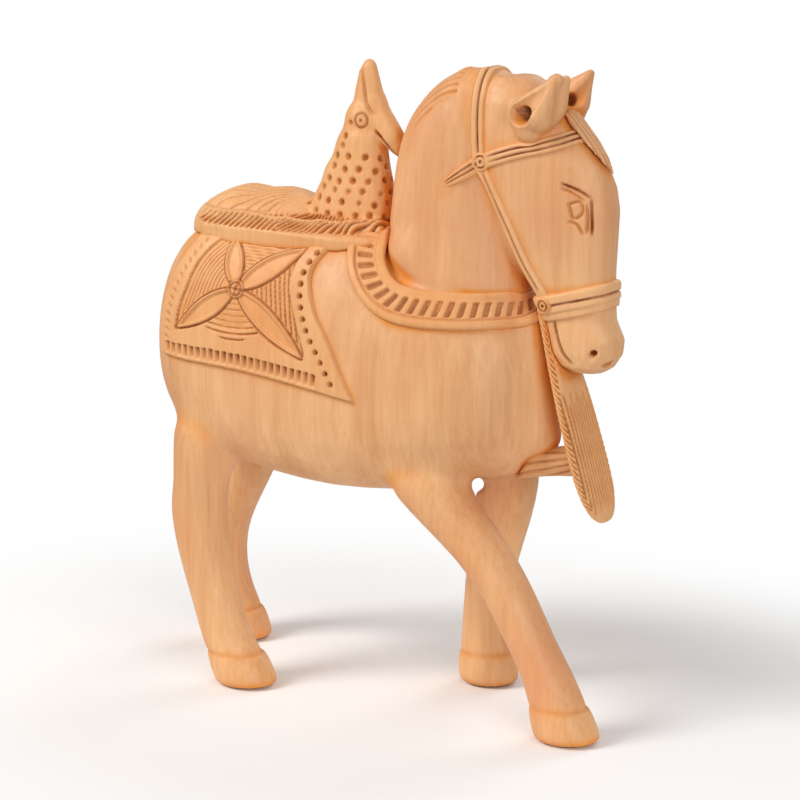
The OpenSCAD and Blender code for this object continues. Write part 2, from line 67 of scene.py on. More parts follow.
def gridAround(nodes, step, band=5.0):
    corners = [np.array(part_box(node)) * 1000 for node in nodes]
    low = np.floor((np.min(corners, axis=(0, 1)) - band - 1) / step).astype(int)
    high = np.ceil((np.max(corners, axis=(0, 1)) + band + 1) / step).astype(int)
    return dict(low=low, size=high - low, step=step, band=band)


def fieldOf(points, faces, grid):
    level = vdb.FloatGrid.createLevelSetFromPolygons(
        np.ascontiguousarray(points), triangles=faces.astype(np.uint32),
        transform=vdb.createLinearTransform(grid["step"]), halfWidth=grid["band"] / grid["step"])
    field = np.empty(grid["size"], np.float32)
    level.copyToArray(field, ijk=tuple(int(n) for n in grid["low"]))
    return field


def cadField(node, grid):
    return fieldOf(*cadSurface(node), grid)


def merged(a, b, radius):  # two solids grown together with a fillet
    h = np.clip(0.5 + 0.5 * (b - a) / radius, 0, 1)
    return b + (a - b) * h - radius * h * (1 - h)


def softened(field, spread):
    reach = max(1, int(math.ceil(spread * 2.5)))
    weights = np.exp(-0.5 * (np.arange(-reach, reach + 1) / spread) ** 2)
    weights /= weights.sum()
    for axis in range(3):
        padded = np.pad(field, [(reach, reach) if k == axis else (0, 0) for k in range(3)], mode="edge")
        total = np.zeros_like(field)
        for k, weight in enumerate(weights):
            window = [slice(None)] * 3
            window[axis] = slice(k, k + field.shape[axis])
            total += weight * padded[tuple(window)]
        field = total
    return field


def insideOut(points, quads):
    a, b, c = (points[quads[:, k]] for k in range(3))
    return (np.cross(a, b) * c).sum() < 0


def skinOf(field, grid):
    volume = vdb.FloatGrid(grid["band"])
    volume.copyFromArray(np.ascontiguousarray(field, np.float32), ijk=tuple(int(n) for n in grid["low"]))
    volume.transform = vdb.createLinearTransform(grid["step"])
    points, quads = volume.convertToQuads(0.0)
    points, quads = points.astype(float), quads.astype(np.int32)
    return points, quads[:, ::-1] if insideOut(points, quads) else quads


def sampled(field, grid, points):
    place = np.clip(points / grid["step"] - grid["low"], 0, np.array(field.shape) - 1.001)
    base = place.astype(int)
    f = place - base
    value = 0
    for dx in (0, 1):
        for dy in (0, 1):
            for dz in (0, 1):
                weight = abs(1 - dx - f[:, 0]) * abs(1 - dy - f[:, 1]) * abs(1 - dz - f[:, 2])
                value = value + weight * field[base[:, 0] + dx, base[:, 1] + dy, base[:, 2] + dz]
    return value


def normalsOf(points, faces):
    normals = np.zeros_like(points)
    for part in faces if isinstance(faces, list) else [faces]:
        ends = ((0, 2), (1, 3)) if part.shape[1] == 4 else ((0, 1), (0, 2))
        cross = np.cross(*(points[part[:, b]] - points[part[:, a]] for a, b in ends))
        for corner in range(part.shape[1]):
            for axis in range(3):
                normals[:, axis] += np.bincount(part[:, corner], cross[:, axis], len(points))
    length = np.linalg.norm(normals, axis=1, keepdims=True)
    return normals / np.maximum(length, 1e-9)


# Pieces.
def makePiece(name, points, faces, material, normals, marks, replaced):
    faces = faces if isinstance(faces, list) else [faces]
    mesh = bpy.data.meshes.new(name)
    counts = np.concatenate([np.full(len(part), part.shape[1]) for part in faces])
    loops = np.concatenate([part.ravel() for part in faces])
    mesh.vertices.add(len(points))
    mesh.vertices.foreach_set("co", (np.asarray(points) / 1000).ravel())
    mesh.loops.add(len(loops))
    mesh.loops.foreach_set("vertex_index", loops.astype(np.int32))
    mesh.polygons.add(len(counts))
    mesh.polygons.foreach_set("loop_start", np.concatenate([[0], np.cumsum(counts)[:-1]]).astype(np.int32))
    mesh.polygons.foreach_set("loop_total", counts.astype(np.int32))
    mesh.update(calc_edges=True)
    mesh.polygons.foreach_set("use_smooth", np.ones(len(counts), bool))
    for mark, values in marks.items():  # cut: how deep the knife went, shade: how much wax and painted shade lie there
        layer = mesh.attributes.new(mark, "FLOAT", "POINT")
        layer.data.foreach_set("value", np.asarray(values, np.float32))
    mesh.normals_split_custom_set(normals.tolist())
    piece = bpy.data.objects.new(name, mesh)
    bpy.context.scene.collection.objects.link(piece)
    mesh.materials.append(material)
    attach(piece, "root")
    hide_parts(*replaced)
    return piece


def rimOf(quads, count):  # edges that only one face uses
    edges = np.concatenate([quads[:, [k, (k + 1) % 4]] for k in range(4)])
    forward = edges[:, 0].astype(np.int64) * count + edges[:, 1]
    backward = edges[:, 1].astype(np.int64) * count + edges[:, 0]
    return edges[~np.isin(forward, backward)]


# Cuts one skin into closed pieces that meet without a visible seam.
def splitSkin(work, owner, names, material, capSink=0.6):
    points, normals = work["points"], work["normals"]
    for index, node in enumerate(names):
        own = work["quads"][owner == index]
        if not len(own):
            raise RuntimeError("no skin for " + node)
        rim = rimOf(own, len(points))
        used, flat = np.unique(own, return_inverse=True)
        flat = flat.reshape(own.shape)
        where = {int(v): k for k, v in enumerate(used)}
        group = {}  # rims that touch share one closing point

        def root(v):
            while group[v] != v:
                v = group[v]
            return v
        for a, b in rim.tolist():
            group.setdefault(a, a)
            group.setdefault(b, b)
            group[root(a)] = root(b)
        members = {}
        for v in group:
            members.setdefault(root(v), []).append(v)
        extra, anchor = [], {}
        for key, loop in members.items():
            anchor[key] = len(used) + len(extra)
            extra.append(points[loop].mean(axis=0) - normals[loop].mean(axis=0) * capSink)
        caps = np.array([[where[b], where[a], anchor[root(a)]] for a, b in rim.tolist()], np.int32).reshape(-1, 3)
        allPoints = np.concatenate([points[used], np.array(extra).reshape(-1, 3)])
        capNormals = np.cross(allPoints[caps[:, 1]] - allPoints[caps[:, 0]],
                              allPoints[caps[:, 2]] - allPoints[caps[:, 0]])
        capNormals /= np.maximum(np.linalg.norm(capNormals, axis=1, keepdims=True), 1e-9)
        loopNormals = np.concatenate([normals[own.ravel()], np.repeat(capNormals, 3, axis=0)])
        marks = {mark: np.concatenate([work[mark][used], np.zeros(len(extra))]) for mark in ("cut", "shade")}
        makePiece("carved_" + node, allPoints, [flat.astype(np.int32), caps], material, loopNormals, marks, (node,))


# Knife work.
def curveThrough(points, count=60):
    points = np.array(points, float)
    ends = np.concatenate([[2 * points[0] - points[1]], points, [2 * points[-1] - points[-2]]])
    t = np.linspace(0, len(points) - 1, count)
    k = np.minimum(t.astype(int), len(points) - 2)
    f = (t - k)[:, None]
    a, b, c, d = ends[k], ends[k + 1], ends[k + 2], ends[k + 3]
    return 0.5 * (2 * b + (c - a) * f + (2 * a - 5 * b + 4 * c - d) * f ** 2 + (3 * b - a - 3 * c + d) * f ** 3)


# Distance to a line of points, how far along it, and which side.
def nearPath(places, path):
    places, path = np.asarray(places, float), np.asarray(path, float)
    best = np.full(len(places), 1e9)
    along, side = np.zeros(len(places)), np.zeros(len(places))
    lengths = np.linalg.norm(np.diff(path, axis=0), axis=1)
    start = np.concatenate([[0], np.cumsum(lengths)])
    for k in range(len(path) - 1):
        step = path[k + 1] - path[k]
        t = np.clip(((places - path[k]) @ step) / max(lengths[k] ** 2, 1e-12), 0, 1)
        gap = places - path[k] - t[:, None] * step
        far = np.linalg.norm(gap, axis=1)
        closer = far < best
        best[closer] = far[closer]
        along[closer] = (start[k] + t * lengths[k])[closer]
        if path.shape[1] == 2:
            side[closer] = np.sign(step[0] * gap[:, 1] - step[1] * gap[:, 0])[closer]
    return best, along, side, start[-1]


def rounded(distance, width):  # 1 in the middle of a cut, 0 at its lip
    return np.clip(1 - (distance / (width / 2)) ** 2, 0, 1)


def pointed(distance, width):
    return np.clip(1 - distance / (width / 2), 0, 1)


def lanes(phase, half):  # 1 in the middle of each lane of a repeat, 0 beyond its half width
    return np.clip(1 - np.abs(phase % 1 - 0.5) / half, 0, 1)


def tapered(along, total, tail=0.2):  # the knife enters and leaves
    share = along / total
    return np.clip(np.minimum(share, 1 - share) / tail, 0, 1) ** 0.6


def inside(places, outline):  # even-odd test for a closed outline
    outline = np.asarray(outline, float)
    x, y = places[:, 0], places[:, 1]
    hits = np.zeros(len(places), bool)
    for k in range(len(outline)):
        (x0, y0), (x1, y1) = outline[k - 1], outline[k]
        crosses = (y0 > y) != (y1 > y)
        hits ^= crosses & (x < (x1 - x0) * (y - y0) / (y1 - y0 if y1 != y0 else 1e-9) + x0)
    return hits


def smoothStep(value, low, high):
    t = np.clip((value - low) / (high - low), 0, 1)
    return t * t * (3 - 2 * t)


def newWork(field, grid):
    points, quads = skinOf(field, grid)
    none = np.zeros(len(points))
    return dict(points=points, quads=quads, normals=normalsOf(points, quads), depth=none, cut=none.copy(),
                shade=none.copy())


def treeOf(work):
    return BVHTree.FromPolygons(work["points"].tolist(), work["quads"].tolist())


def cutAway(work, depth, stain, at=slice(None)):  # deepest cut and darkest stain win
    work["depth"][at] = np.maximum(work["depth"][at], depth)
    work["cut"][at] = np.maximum(work["cut"][at], stain)


# Takes wood away along a line in the side view, on both flanks.
def cutLine(work, line, width, depth, brown=1.0, taper=0.2):
    points, normals = work["points"], work["normals"]
    low, high = np.min(line, axis=0) - width, np.max(line, axis=0) + width
    near = np.abs(normals[:, 1]) > 0.15
    for axis, k in ((0, 0), (2, 1)):
        near &= (points[:, axis] > low[k]) & (points[:, axis] < high[k])
    at = np.where(near)[0]
    path = curveThrough(line, 6 * len(line)) if len(line) > 2 else np.array(line, float)
    distance, along, _, total = nearPath(points[at][:, [0, 2]], path)
    share = rounded(distance, width) * (tapered(along, total, taper) if taper else 1)
    cutAway(work, depth * share, brown * np.clip(share * 1.5, 0, 1), at)


def carveWork(work):  # pushes the skin in by the depth that the knife took
    work["points"] = work["points"] - work["normals"] * work["depth"][:, None]
    work["normals"] = normalsOf(work["points"], work["quads"])
    work["points"][:, 2] = np.maximum(work["points"][:, 2], 0)  # soles stay flat on the table


# Wood, stain and finish.
def newGroup(name, inputs, outputs):
    group = bpy.data.node_groups.new(name, "ShaderNodeTree")
    for label, kind, value in inputs:
        socket = group.interface.new_socket(name=label, in_out="INPUT", socket_type="NodeSocket" + kind)
        socket.default_value = value
    for label, kind in outputs:
        group.interface.new_socket(name=label, in_out="OUTPUT", socket_type="NodeSocket" + kind)
    return group, group.nodes.new("NodeGroupInput"), group.nodes.new("NodeGroupOutput")


def addNode(tree, kind, settings=None, **values):
    node = tree.nodes.new("ShaderNode" + kind)
    for key, value in (settings or {}).items():
        setattr(node, key, value)
    for key, value in values.items():
        node.inputs[key].default_value = value
    return node


def mathNode(tree, operation, a, b=None, clamp=False):
    node = addNode(tree, "Math", dict(operation=operation, use_clamp=clamp))
    for k, source in enumerate((a, b)):
        if source is None:
            continue
        if isinstance(source, (int, float)):
            node.inputs[k].default_value = source
        else:
            tree.links.new(source, node.inputs[k])
    return node.outputs[0]


def colourMix(tree, share, a, b, blendType="MIX"):
    node = addNode(tree, "Mix", dict(data_type="RGBA", blend_type=blendType))
    for socket, source in ((node.inputs[0], share), (node.inputs[6], a), (node.inputs[7], b)):
        if isinstance(source, tuple):
            socket.default_value = source
        else:
            tree.links.new(source, socket)
    return node.outputs[2]


def rangeMask(tree, source, low, high, start=0.0, end=1.0):
    node = addNode(tree, "MapRange", **{"From Min": low, "From Max": high, "To Min": start, "To Max": end})
    tree.links.new(source, node.inputs[0])
    return node.outputs[0]


# Noise in the figure's own space: size, squash along each axis, detail, roughness.
def noiseIn(tree, scale, squash, steps, rough):
    place, stretch = addNode(tree, "TexCoord"), addNode(tree, "Mapping", Scale=squash)
    tree.links.new(place.outputs["Object"], stretch.inputs["Vector"])
    noise = addNode(tree, "TexNoise", Scale=scale, Detail=steps, Roughness=rough)
    tree.links.new(stretch.outputs[0], noise.inputs["Vector"])
    return noise.outputs[0]


# Pale close-grained timber: soft upright figure, fine streaks and short pores.
def makeTimberGroup():
    tree, source, out = newGroup("timber", [
        ("Sap", "Color", (0.8, 0.55, 0.3, 1)), ("Heart", "Color", (0.6, 0.35, 0.15, 1)),
        ("Blush", "Color", (0.7, 0.3, 0.15, 1)), ("Figure", "Float", 0.5), ("Streaks", "Float", 0.5),
        ("Pores", "Float", 0.3), ("Blush Amount", "Float", 0.3)],
        [("Colour", "Color"), ("Height", "Float")])
    broad = rangeMask(tree, noiseIn(tree, 70, (1, 1, 0.12), 3, 0.55), 0.36, 0.66)
    fine = rangeMask(tree, noiseIn(tree, 620, (1, 1, 0.03), 3, 0.6), 0.35, 0.7)
    pore = rangeMask(tree, noiseIn(tree, 1500, (1, 1, 0.06), 1, 0.5), 0.62, 0.74)
    patch = rangeMask(tree, noiseIn(tree, 22, (1, 1, 0.7), 2, 0.5), 0.42, 0.68)
    heart = mathNode(tree, "ADD", mathNode(tree, "MULTIPLY", broad, source.outputs["Figure"]),
                     mathNode(tree, "MULTIPLY", fine, source.outputs["Streaks"]), clamp=True)
    colour = colourMix(tree, heart, source.outputs["Sap"], source.outputs["Heart"])
    colour = colourMix(tree, mathNode(tree, "MULTIPLY", patch, source.outputs["Blush Amount"]), colour,
                       source.outputs["Blush"])
    colour = colourMix(tree, mathNode(tree, "MULTIPLY", pore, source.outputs["Pores"]), colour,
                       source.outputs["Heart"], "MULTIPLY")
    tree.links.new(colour, out.inputs["Colour"])
    tree.links.new(mathNode(tree, "SUBTRACT", mathNode(tree, "MULTIPLY", fine, 0.5), pore), out.inputs["Height"])
    return tree


# Stain that stays in knife cuts, and a warm wax colour that also paints the shade where surfaces meet and in hollows.
def makeStainAndShadeGroup():
    tree, source, out = newGroup("knifeStain", [
        ("Wood", "Color", (0.8, 0.6, 0.4, 1)), ("Wax", "Color", (0.7, 0.35, 0.08, 1)),
        ("Burn", "Color", (0.25, 0.08, 0.02, 1)), ("Wax Amount", "Float", 0.6), ("Burn Amount", "Float", 0.8)],
        [("Colour", "Color"), ("Dullness", "Float")])
    uneven = rangeMask(tree, noiseIn(tree, 160, (1, 1, 1), 3, 0.6), 0.3, 0.7, 0.55, 1.1)
    colour, shares = source.outputs["Wood"], []
    for mark, stain in (("shade", "Wax"), ("cut", "Burn")):
        depth = addNode(tree, "Attribute", dict(attribute_name=mark))
        share = mathNode(tree, "MULTIPLY", mathNode(tree, "MULTIPLY", depth.outputs["Fac"], uneven),
                         source.outputs[stain + " Amount"], clamp=True)
        colour = colourMix(tree, share, colour, source.outputs[stain])
        shares.append(share)
    tree.links.new(colour, out.inputs["Colour"])
    tree.links.new(mathNode(tree, "MAXIMUM", shares[1], mathNode(tree, "MULTIPLY", shares[0], 0.5)),
                   out.inputs["Dullness"])
    return tree


def rgb(red, green, blue):  # everyday 0-255 colour to the shader's own scale
    return tuple(((v / 255 + 0.055) / 1.055) ** 2.4 if v > 10 else v / 255 / 12.92 for v in (red, green, blue)) + (1,)


timberGroup = makeTimberGroup()
stainAndShadeGroup = makeStainAndShadeGroup()
# wax colour: wax gathered in the hollows, and the painted shade there
woods = dict(
    flank=dict(sap=(237, 187, 135), heart=(216, 157, 106), blush=(215, 140, 96), wax=(224, 140, 50),
               burn=(128, 48, 10), waxAmount=0.95, burnAmount=0.9, figure=0.7, streaks=0.45, blushAmount=0.6),
    carved=dict(sap=(236, 182, 126), heart=(216, 150, 92), blush=(219, 138, 78), wax=(222, 136, 48),
                burn=(132, 50, 10), waxAmount=1.0, burnAmount=0.9, figure=0.4, streaks=0.35, blushAmount=0.35),
    harness=dict(sap=(237, 185, 132), heart=(216, 154, 102), blush=(219, 142, 90), wax=(222, 140, 54),
                 burn=(120, 44, 8), waxAmount=0.9, burnAmount=0.95, figure=0.4, streaks=0.3, blushAmount=0.3),
)


polish = dict(pores=0.12, gloss=0.3, coat=0.07, coatLost=0.3, coatRough=0.3, rough=(0.48, 0.8), bump=0.35, bumpDepth=0.00012)


def addGroup(tree, group, look):  # sockets take the entries of the look that have their names
    node = addNode(tree, "Group", dict(node_tree=group))
    for socket in node.inputs:
        value = look.get(socket.name[0].lower() + socket.name[1:].replace(" ", ""))
        if value is not None:
            socket.default_value = rgb(*value) if isinstance(value, tuple) else value
    return node


def makeWood(name):
    material = bpy.data.materials.new(name + "Wood")
    material.use_nodes = True
    tree = material.node_tree
    shader = tree.nodes["Principled BSDF"]
    timber = addGroup(tree, timberGroup, dict(woods[name], pores=polish["pores"]))
    stain = addGroup(tree, stainAndShadeGroup, woods[name])
    dullness = stain.outputs["Dullness"]
    coat = mathNode(tree, "SUBTRACT", polish["coat"], mathNode(tree, "MULTIPLY", dullness, polish["coatLost"]),
                    clamp=True)
    bump = addNode(tree, "Bump", Strength=polish["bump"], Distance=polish["bumpDepth"])
    for source, socket in ((timber.outputs["Colour"], stain.inputs["Wood"]),
                           (stain.outputs["Colour"], shader.inputs["Base Color"]),
                           (coat, shader.inputs["Coat Weight"]),
                           (rangeMask(tree, dullness, 0.0, 1.0, *polish["rough"]), shader.inputs["Roughness"]),
                           (timber.outputs["Height"], bump.inputs["Height"]),
                           (bump.outputs[0], shader.inputs["Normal"])):
        tree.links.new(source, socket)
    shader.inputs["Specular IOR Level"].default_value = polish["gloss"]
    shader.inputs["Coat Roughness"].default_value = polish["coatRough"]
    return material


flankWood, carvedWood, harnessWood = (makeWood(name) for name in woods)
print("woods made")


# How hidden each place is, from all the solids together: it lays painted shade, in the warm wax colour, in creases and
# hollows.
allNodes = list(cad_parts)
coarseGrid = gridAround(allNodes, 1.3)
wholeField = np.minimum.reduce([cadField(node, coarseGrid) for node in allNodes])
print("solids read:", len(allNodes))


def hollowness(points, normals):
    near, far = (1 - sampled(wholeField, coarseGrid, points + normals * reach) / reach for reach in (2.6, 4.2))
    return np.clip(0.85 * smoothStep(near, 0.08, 0.7) + 0.4 * smoothStep(far, 0.2, 0.85), 0, 1)


# Smooths the crease between neighbours, by as much as both are close by.
def knit(fields, pairs, grid, spread, finish):
    union = np.minimum.reduce(list(fields.values()))
    soft = softened(union, spread / grid["step"])
    share = np.zeros_like(union)
    for a, b, reach in pairs:
        near = 1 - np.maximum(np.abs(fields[a]), np.abs(fields[b])) / reach
        share = np.maximum(share, np.clip(near, 0, 1))
    share = share * share * (3 - 2 * share)
    return softened(union * (1 - share) + soft * share, finish / grid["step"])


def placesOf(grid):
    axes = [(grid["low"][k] + np.arange(grid["size"][k])) * grid["step"] for k in range(3)]
    return np.meshgrid(*axes, indexing="ij", sparse=True)


# Rods are ("add" or "cut", from, to, radius at either end, fillet): wood left standing, or a gouge that hollows it.
def workRods(field, grid, rods):
    x, y, z = placesOf(grid)
    for kind, a, b, startRadius, endRadius, fillet in rods:
        a, b = np.array(a, float), np.array(b, float)
        step = b - a
        t = np.clip(((x - a[0]) * step[0] + (y - a[1]) * step[1] + (z - a[2]) * step[2]) / (step @ step), 0, 1)
        gap = np.sqrt((x - a[0] - t * step[0]) ** 2 + (y - a[1] - t * step[1]) ** 2 + (z - a[2] - t * step[2]) ** 2)
        sign = 1 if kind == "add" else -1
        tool = gap - (startRadius + (endRadius - startRadius) * t)
        field = sign * merged(sign * field, tool, fillet).astype(np.float32)
    return field


def bothSides(rods):  # the same rods on the right and on the left
    return [(kind, (a[0], side * a[1], a[2]), (b[0], side * b[1], b[2]), *rest)
            for side in (-1, 1) for kind, a, b, *rest in rods]


# Carves a skin, shades its hollows and gives each face to the solid that it grew from.
# A neighbour's faces are left out, because they are made with its own skin.
def finishSkin(work, fields, grid, names, material, neighbour=None, toFirst=None, toNeighbour=None):
    carveWork(work)
    work["shade"] = np.maximum(work["shade"], hollowness(work["points"], work["normals"]))
    middles = work["points"][work["quads"]].mean(axis=1)
    own = names + ([neighbour] if neighbour else [])
    owner = np.array([sampled(fields[name], grid, middles) for name in own]).argmin(axis=0)
    if neighbour:
        owner[(owner == len(names)) & toFirst(middles)] = 0
        owner[(owner == 0) & toNeighbour(middles)] = len(names)
    splitSkin(work, owner, names, material)
    print(names[0], "and its neighbours carved:", len(work["points"]), "points")


# Body, legs and hooves.
body = dict(
    spread=3.6,     # how widely legs flow into the body, mm
    reach=9.0,
    finish=0.9,
    coronetDepth=0.45,
    coronetWidth=1.5,
    top=170,        # the body's grid stops here
    rods=[
        ("add", (51.5, 0, 125), (55.6, 0, 91.5), 6.2, 6.8, 5.0),          # keel left standing between chest and plume
        ("cut", (40.8, -13, 76.6), (22.3, 20, 67.0), 1.9, 2.0, 2.0)],     # gap between the forelegs, under the chest
)
# neck and body meet under the middle of the collar: place along X, height
collarMiddle = dict(x=[-0.5, 0, 1.5, 4.5, 10, 17, 26, 36, 52],
                    z=[154.5, 153.5, 149.5, 144, 138, 134.2, 132.8, 132.6, 132.6])


def aboveCollar(places, margin):
    seam = np.interp(places[:, 0], collarMiddle["x"], collarMiddle["z"]) + margin
    return (places[:, 2] > seam) & (places[:, 0] > -8) & (places[:, 0] < 56) & (np.abs(places[:, 1]) < 26.5)


legNames = ["right_foreleg", "left_foreleg", "right_hind_leg", "left_hind_leg"]
hoofNames = ["right_fore_hoof", "left_fore_hoof", "right_hind_hoof", "left_hind_hoof"]
bodyNames = ["torso"] + legNames + hoofNames
bodyGrid = gridAround(bodyNames + ["neck"], detail["bodyStep"])
bodyGrid["size"][2] = int((body["top"] - bodyGrid["low"][2] * bodyGrid["step"]) / bodyGrid["step"])
bodyFields = {name: cadField(name, bodyGrid) for name in bodyNames + ["neck"]}
pairs = [("torso", leg, body["reach"]) for leg in legNames] + [("torso", "neck", 5.0)]
bodyField = knit(bodyFields, pairs, bodyGrid, body["spread"], body["finish"])
bodyWork = newWork(workRods(bodyField, bodyGrid, body["rods"]), bodyGrid)
bodyTree = treeOf(bodyWork)
for hoof in hoofNames:
    away = np.abs(bodyWork["points"][:, 2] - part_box(hoof)[1][2] * 1000)
    own = (sampled(bodyFields[hoof], bodyGrid, bodyWork["points"]) < 3) & (away < 3)
    line = pointed(away, body["coronetWidth"]) * own
    cutAway(bodyWork, body["coronetDepth"] * line, 0.12 * line)
finishSkin(bodyWork, bodyFields, bodyGrid, bodyNames, flankWood, "neck",
           lambda places: ~aboveCollar(places, -1.5), lambda places: aboveCollar(places, 1.5))


# Neck, head and ears.
ear = dict(hollow=4.1, rim=5.3)  # radius of the hollow in each ear and of the leaf around it, mm
head = dict(
    spread=1.8, reach=4.0, finish=0.5,
    strandDepth=0.45,
    nostrils=bothSides([("cut", (78.6, 8.0, 121), (76.5, 5.0, 121.6), 1.1, 1.1 * 0.7, 0.3)]),
    withers=bothSides([  # filled out between neck and collar
        ("add", (17, 4, 172), (17.4, 7.8, 147), 5.6, 9.0, 5.0),
        ("add", (17.4, 7.8, 147), (28, 11, 132), 9.0, 8.8, 5.0)]),
    rightEar=[  # a cup turned outward
        ("add", (60.5, -11.6, 193.0), (66.4, -10.8, 204.8), 4.8, 1.2, 1.5),
        ("add", (55.8, -11.2, 193.6), (66.2, -10.8, 204.8), ear["rim"], 1.2, 1.5),
        ("add", (64.8, -10.8, 204.4), (67.0, -10.6, 204.4), 1.2, 1.2, 1.0),
        ("cut", (56.0, -16.6, 194.4), (64.8, -13.6, 203.2), ear["hollow"], 0.5, 0.5),
        ("cut", (55.6, -15.5, 193.4), (57.8, -8.2, 194.2), ear["hollow"] * 0.75, 1.7, 0.6)],
    leftEar=[  # a leaf turned forward, hollow in front
        ("add", (60.6, 8.6, 193.4), (68.0, 8.2, 204.8), ear["rim"], 1.2, 1.0),
        ("cut", (66.4, 3.4, 197.4), (69.0, 6.4, 203.0), ear["hollow"] * 0.7, 0.5, 0.5),
        ("cut", (65.4, 2.6, 197.4), (60.4, 7.0, 196.0), ear["hollow"] * 0.6, 1.2, 0.5)],
    earBottoms=((57.8, -8.6, 194.2), (60.6, 6.4, 196.0)),
    nostrilPlace=(77.4, 6.3, 121.3),
    brow=dict(width=1.1, depth=0.6),
    browLines=[[(67.4, 173.2), (72.5, 171.3), (76.6, 168.8)], [(76.6, 168.8), (77.0, 163), (76.9, 157)]],
    eye=dict(width=1.1, depth=0.85, brown=0.2),
    eyeLines=[[(67.4, 171.6), (71.0, 170.2), (75.2, 167.4)], [(75.2, 167.4), (75.8, 163), (75.4, 157.4)],
              [(69.8, 161.4), (72.6, 160.6), (74.6, 157.2)]],
    eyeball=[(70.2, 166.8), (73.6, 167.6), (74.2, 164.2), (71.6, 162.4), (70.2, 166.8)],
    jaw=dict(width=1.5, depth=0.9, brown=0.8),
    jawLine=[(64.4, 131), (65.6, 125.6), (67.6, 120.4), (71, 116.4)],
    mouth=dict(width=1.5, depth=1.0, brown=0.6),
    mouthLine=[(86.0, 118.9), (82.6, 117.9), (79.6, 116.2)],
)
headNames = ["neck", "head", "right_ear", "left_ear", "mane"]
headGrid = gridAround(headNames + ["collar"], detail["headStep"])
headFields = {name: cadField(name, headGrid) for name in headNames + ["torso"]}
x, y, z = placesOf(headGrid)
seam = np.interp(x, collarMiddle["x"], collarMiddle["z"])
headFields["torso"] = np.maximum(headFields["torso"], (z - seam - 4.5) + 0 * y).astype(np.float32)
headField = knit(headFields, [("neck", "head", head["reach"]), ("head", "right_ear", 3.0), ("head", "left_ear", 3.0),
                              ("neck", "torso", 5.0), ("neck", "mane", 2.6)], headGrid, head["spread"], head["finish"])
for rods in ("nostrils", "withers", "rightEar", "leftEar"):
    headField = workRods(headField, headGrid, head[rods])
headWork = newWork(headField, headGrid)
headTree = treeOf(headWork)
p = headWork["points"]
crestReach = np.hypot(p[:, 0] - 38, p[:, 2] - 172)
strandPhase = np.arctan2(p[:, 1], np.maximum(crestReach - 20, 0.5)) * 5.5 + 0.25 * np.sin(p[:, 2] / 6) + 0.5
onMane = sampled(headFields["mane"], headGrid, p) < 0.9
strand = lanes(strandPhase, 0.26) * onMane * smoothStep(p[:, 2], 180, 196) * (p[:, 0] < 40)
cutAway(headWork, head["strandDepth"] * strand, 0.5 * strand)
for bottom in head["earBottoms"]:  # painted shade: the burn colour deep in the ears, where nothing is cut
    gap = np.linalg.norm(p - np.array(bottom), axis=1)
    cutAway(headWork, 0, 0.95 * (1 - smoothStep(gap, 2.4, 5.6)))
# painted shade: the burn colour inside the nostril hollows
gap = np.linalg.norm(np.abs(p) - np.array(head["nostrilPlace"]), axis=1)
cutAway(headWork, 0, 0.9 * (1 - smoothStep(gap, 0.8, 2.1)))
for line in head["browLines"]:
    cutLine(headWork, line, **head["brow"])
for line in head["eyeLines"]:
    cutLine(headWork, line, **head["eye"])
cutLine(headWork, head["eyeball"], **head["eye"], taper=0)
cutLine(headWork, head["jawLine"], **head["jaw"])
cutLine(headWork, head["mouthLine"], **head["mouth"])
finishSkin(headWork, headFields, headGrid, headNames, flankWood, "torso",
           lambda places: aboveCollar(places, -3), lambda places: ~aboveCollar(places, -3))


# Strips laid on the skin: straps, bands and collar.
def seatOn(tree, places):  # nearest places on a skin, and its normals there
    hits = [tree.find_nearest(Vector(place)) for place in places]
    return [np.array([tuple(hit[k]) for hit in hits]) for k in (0, 1)]


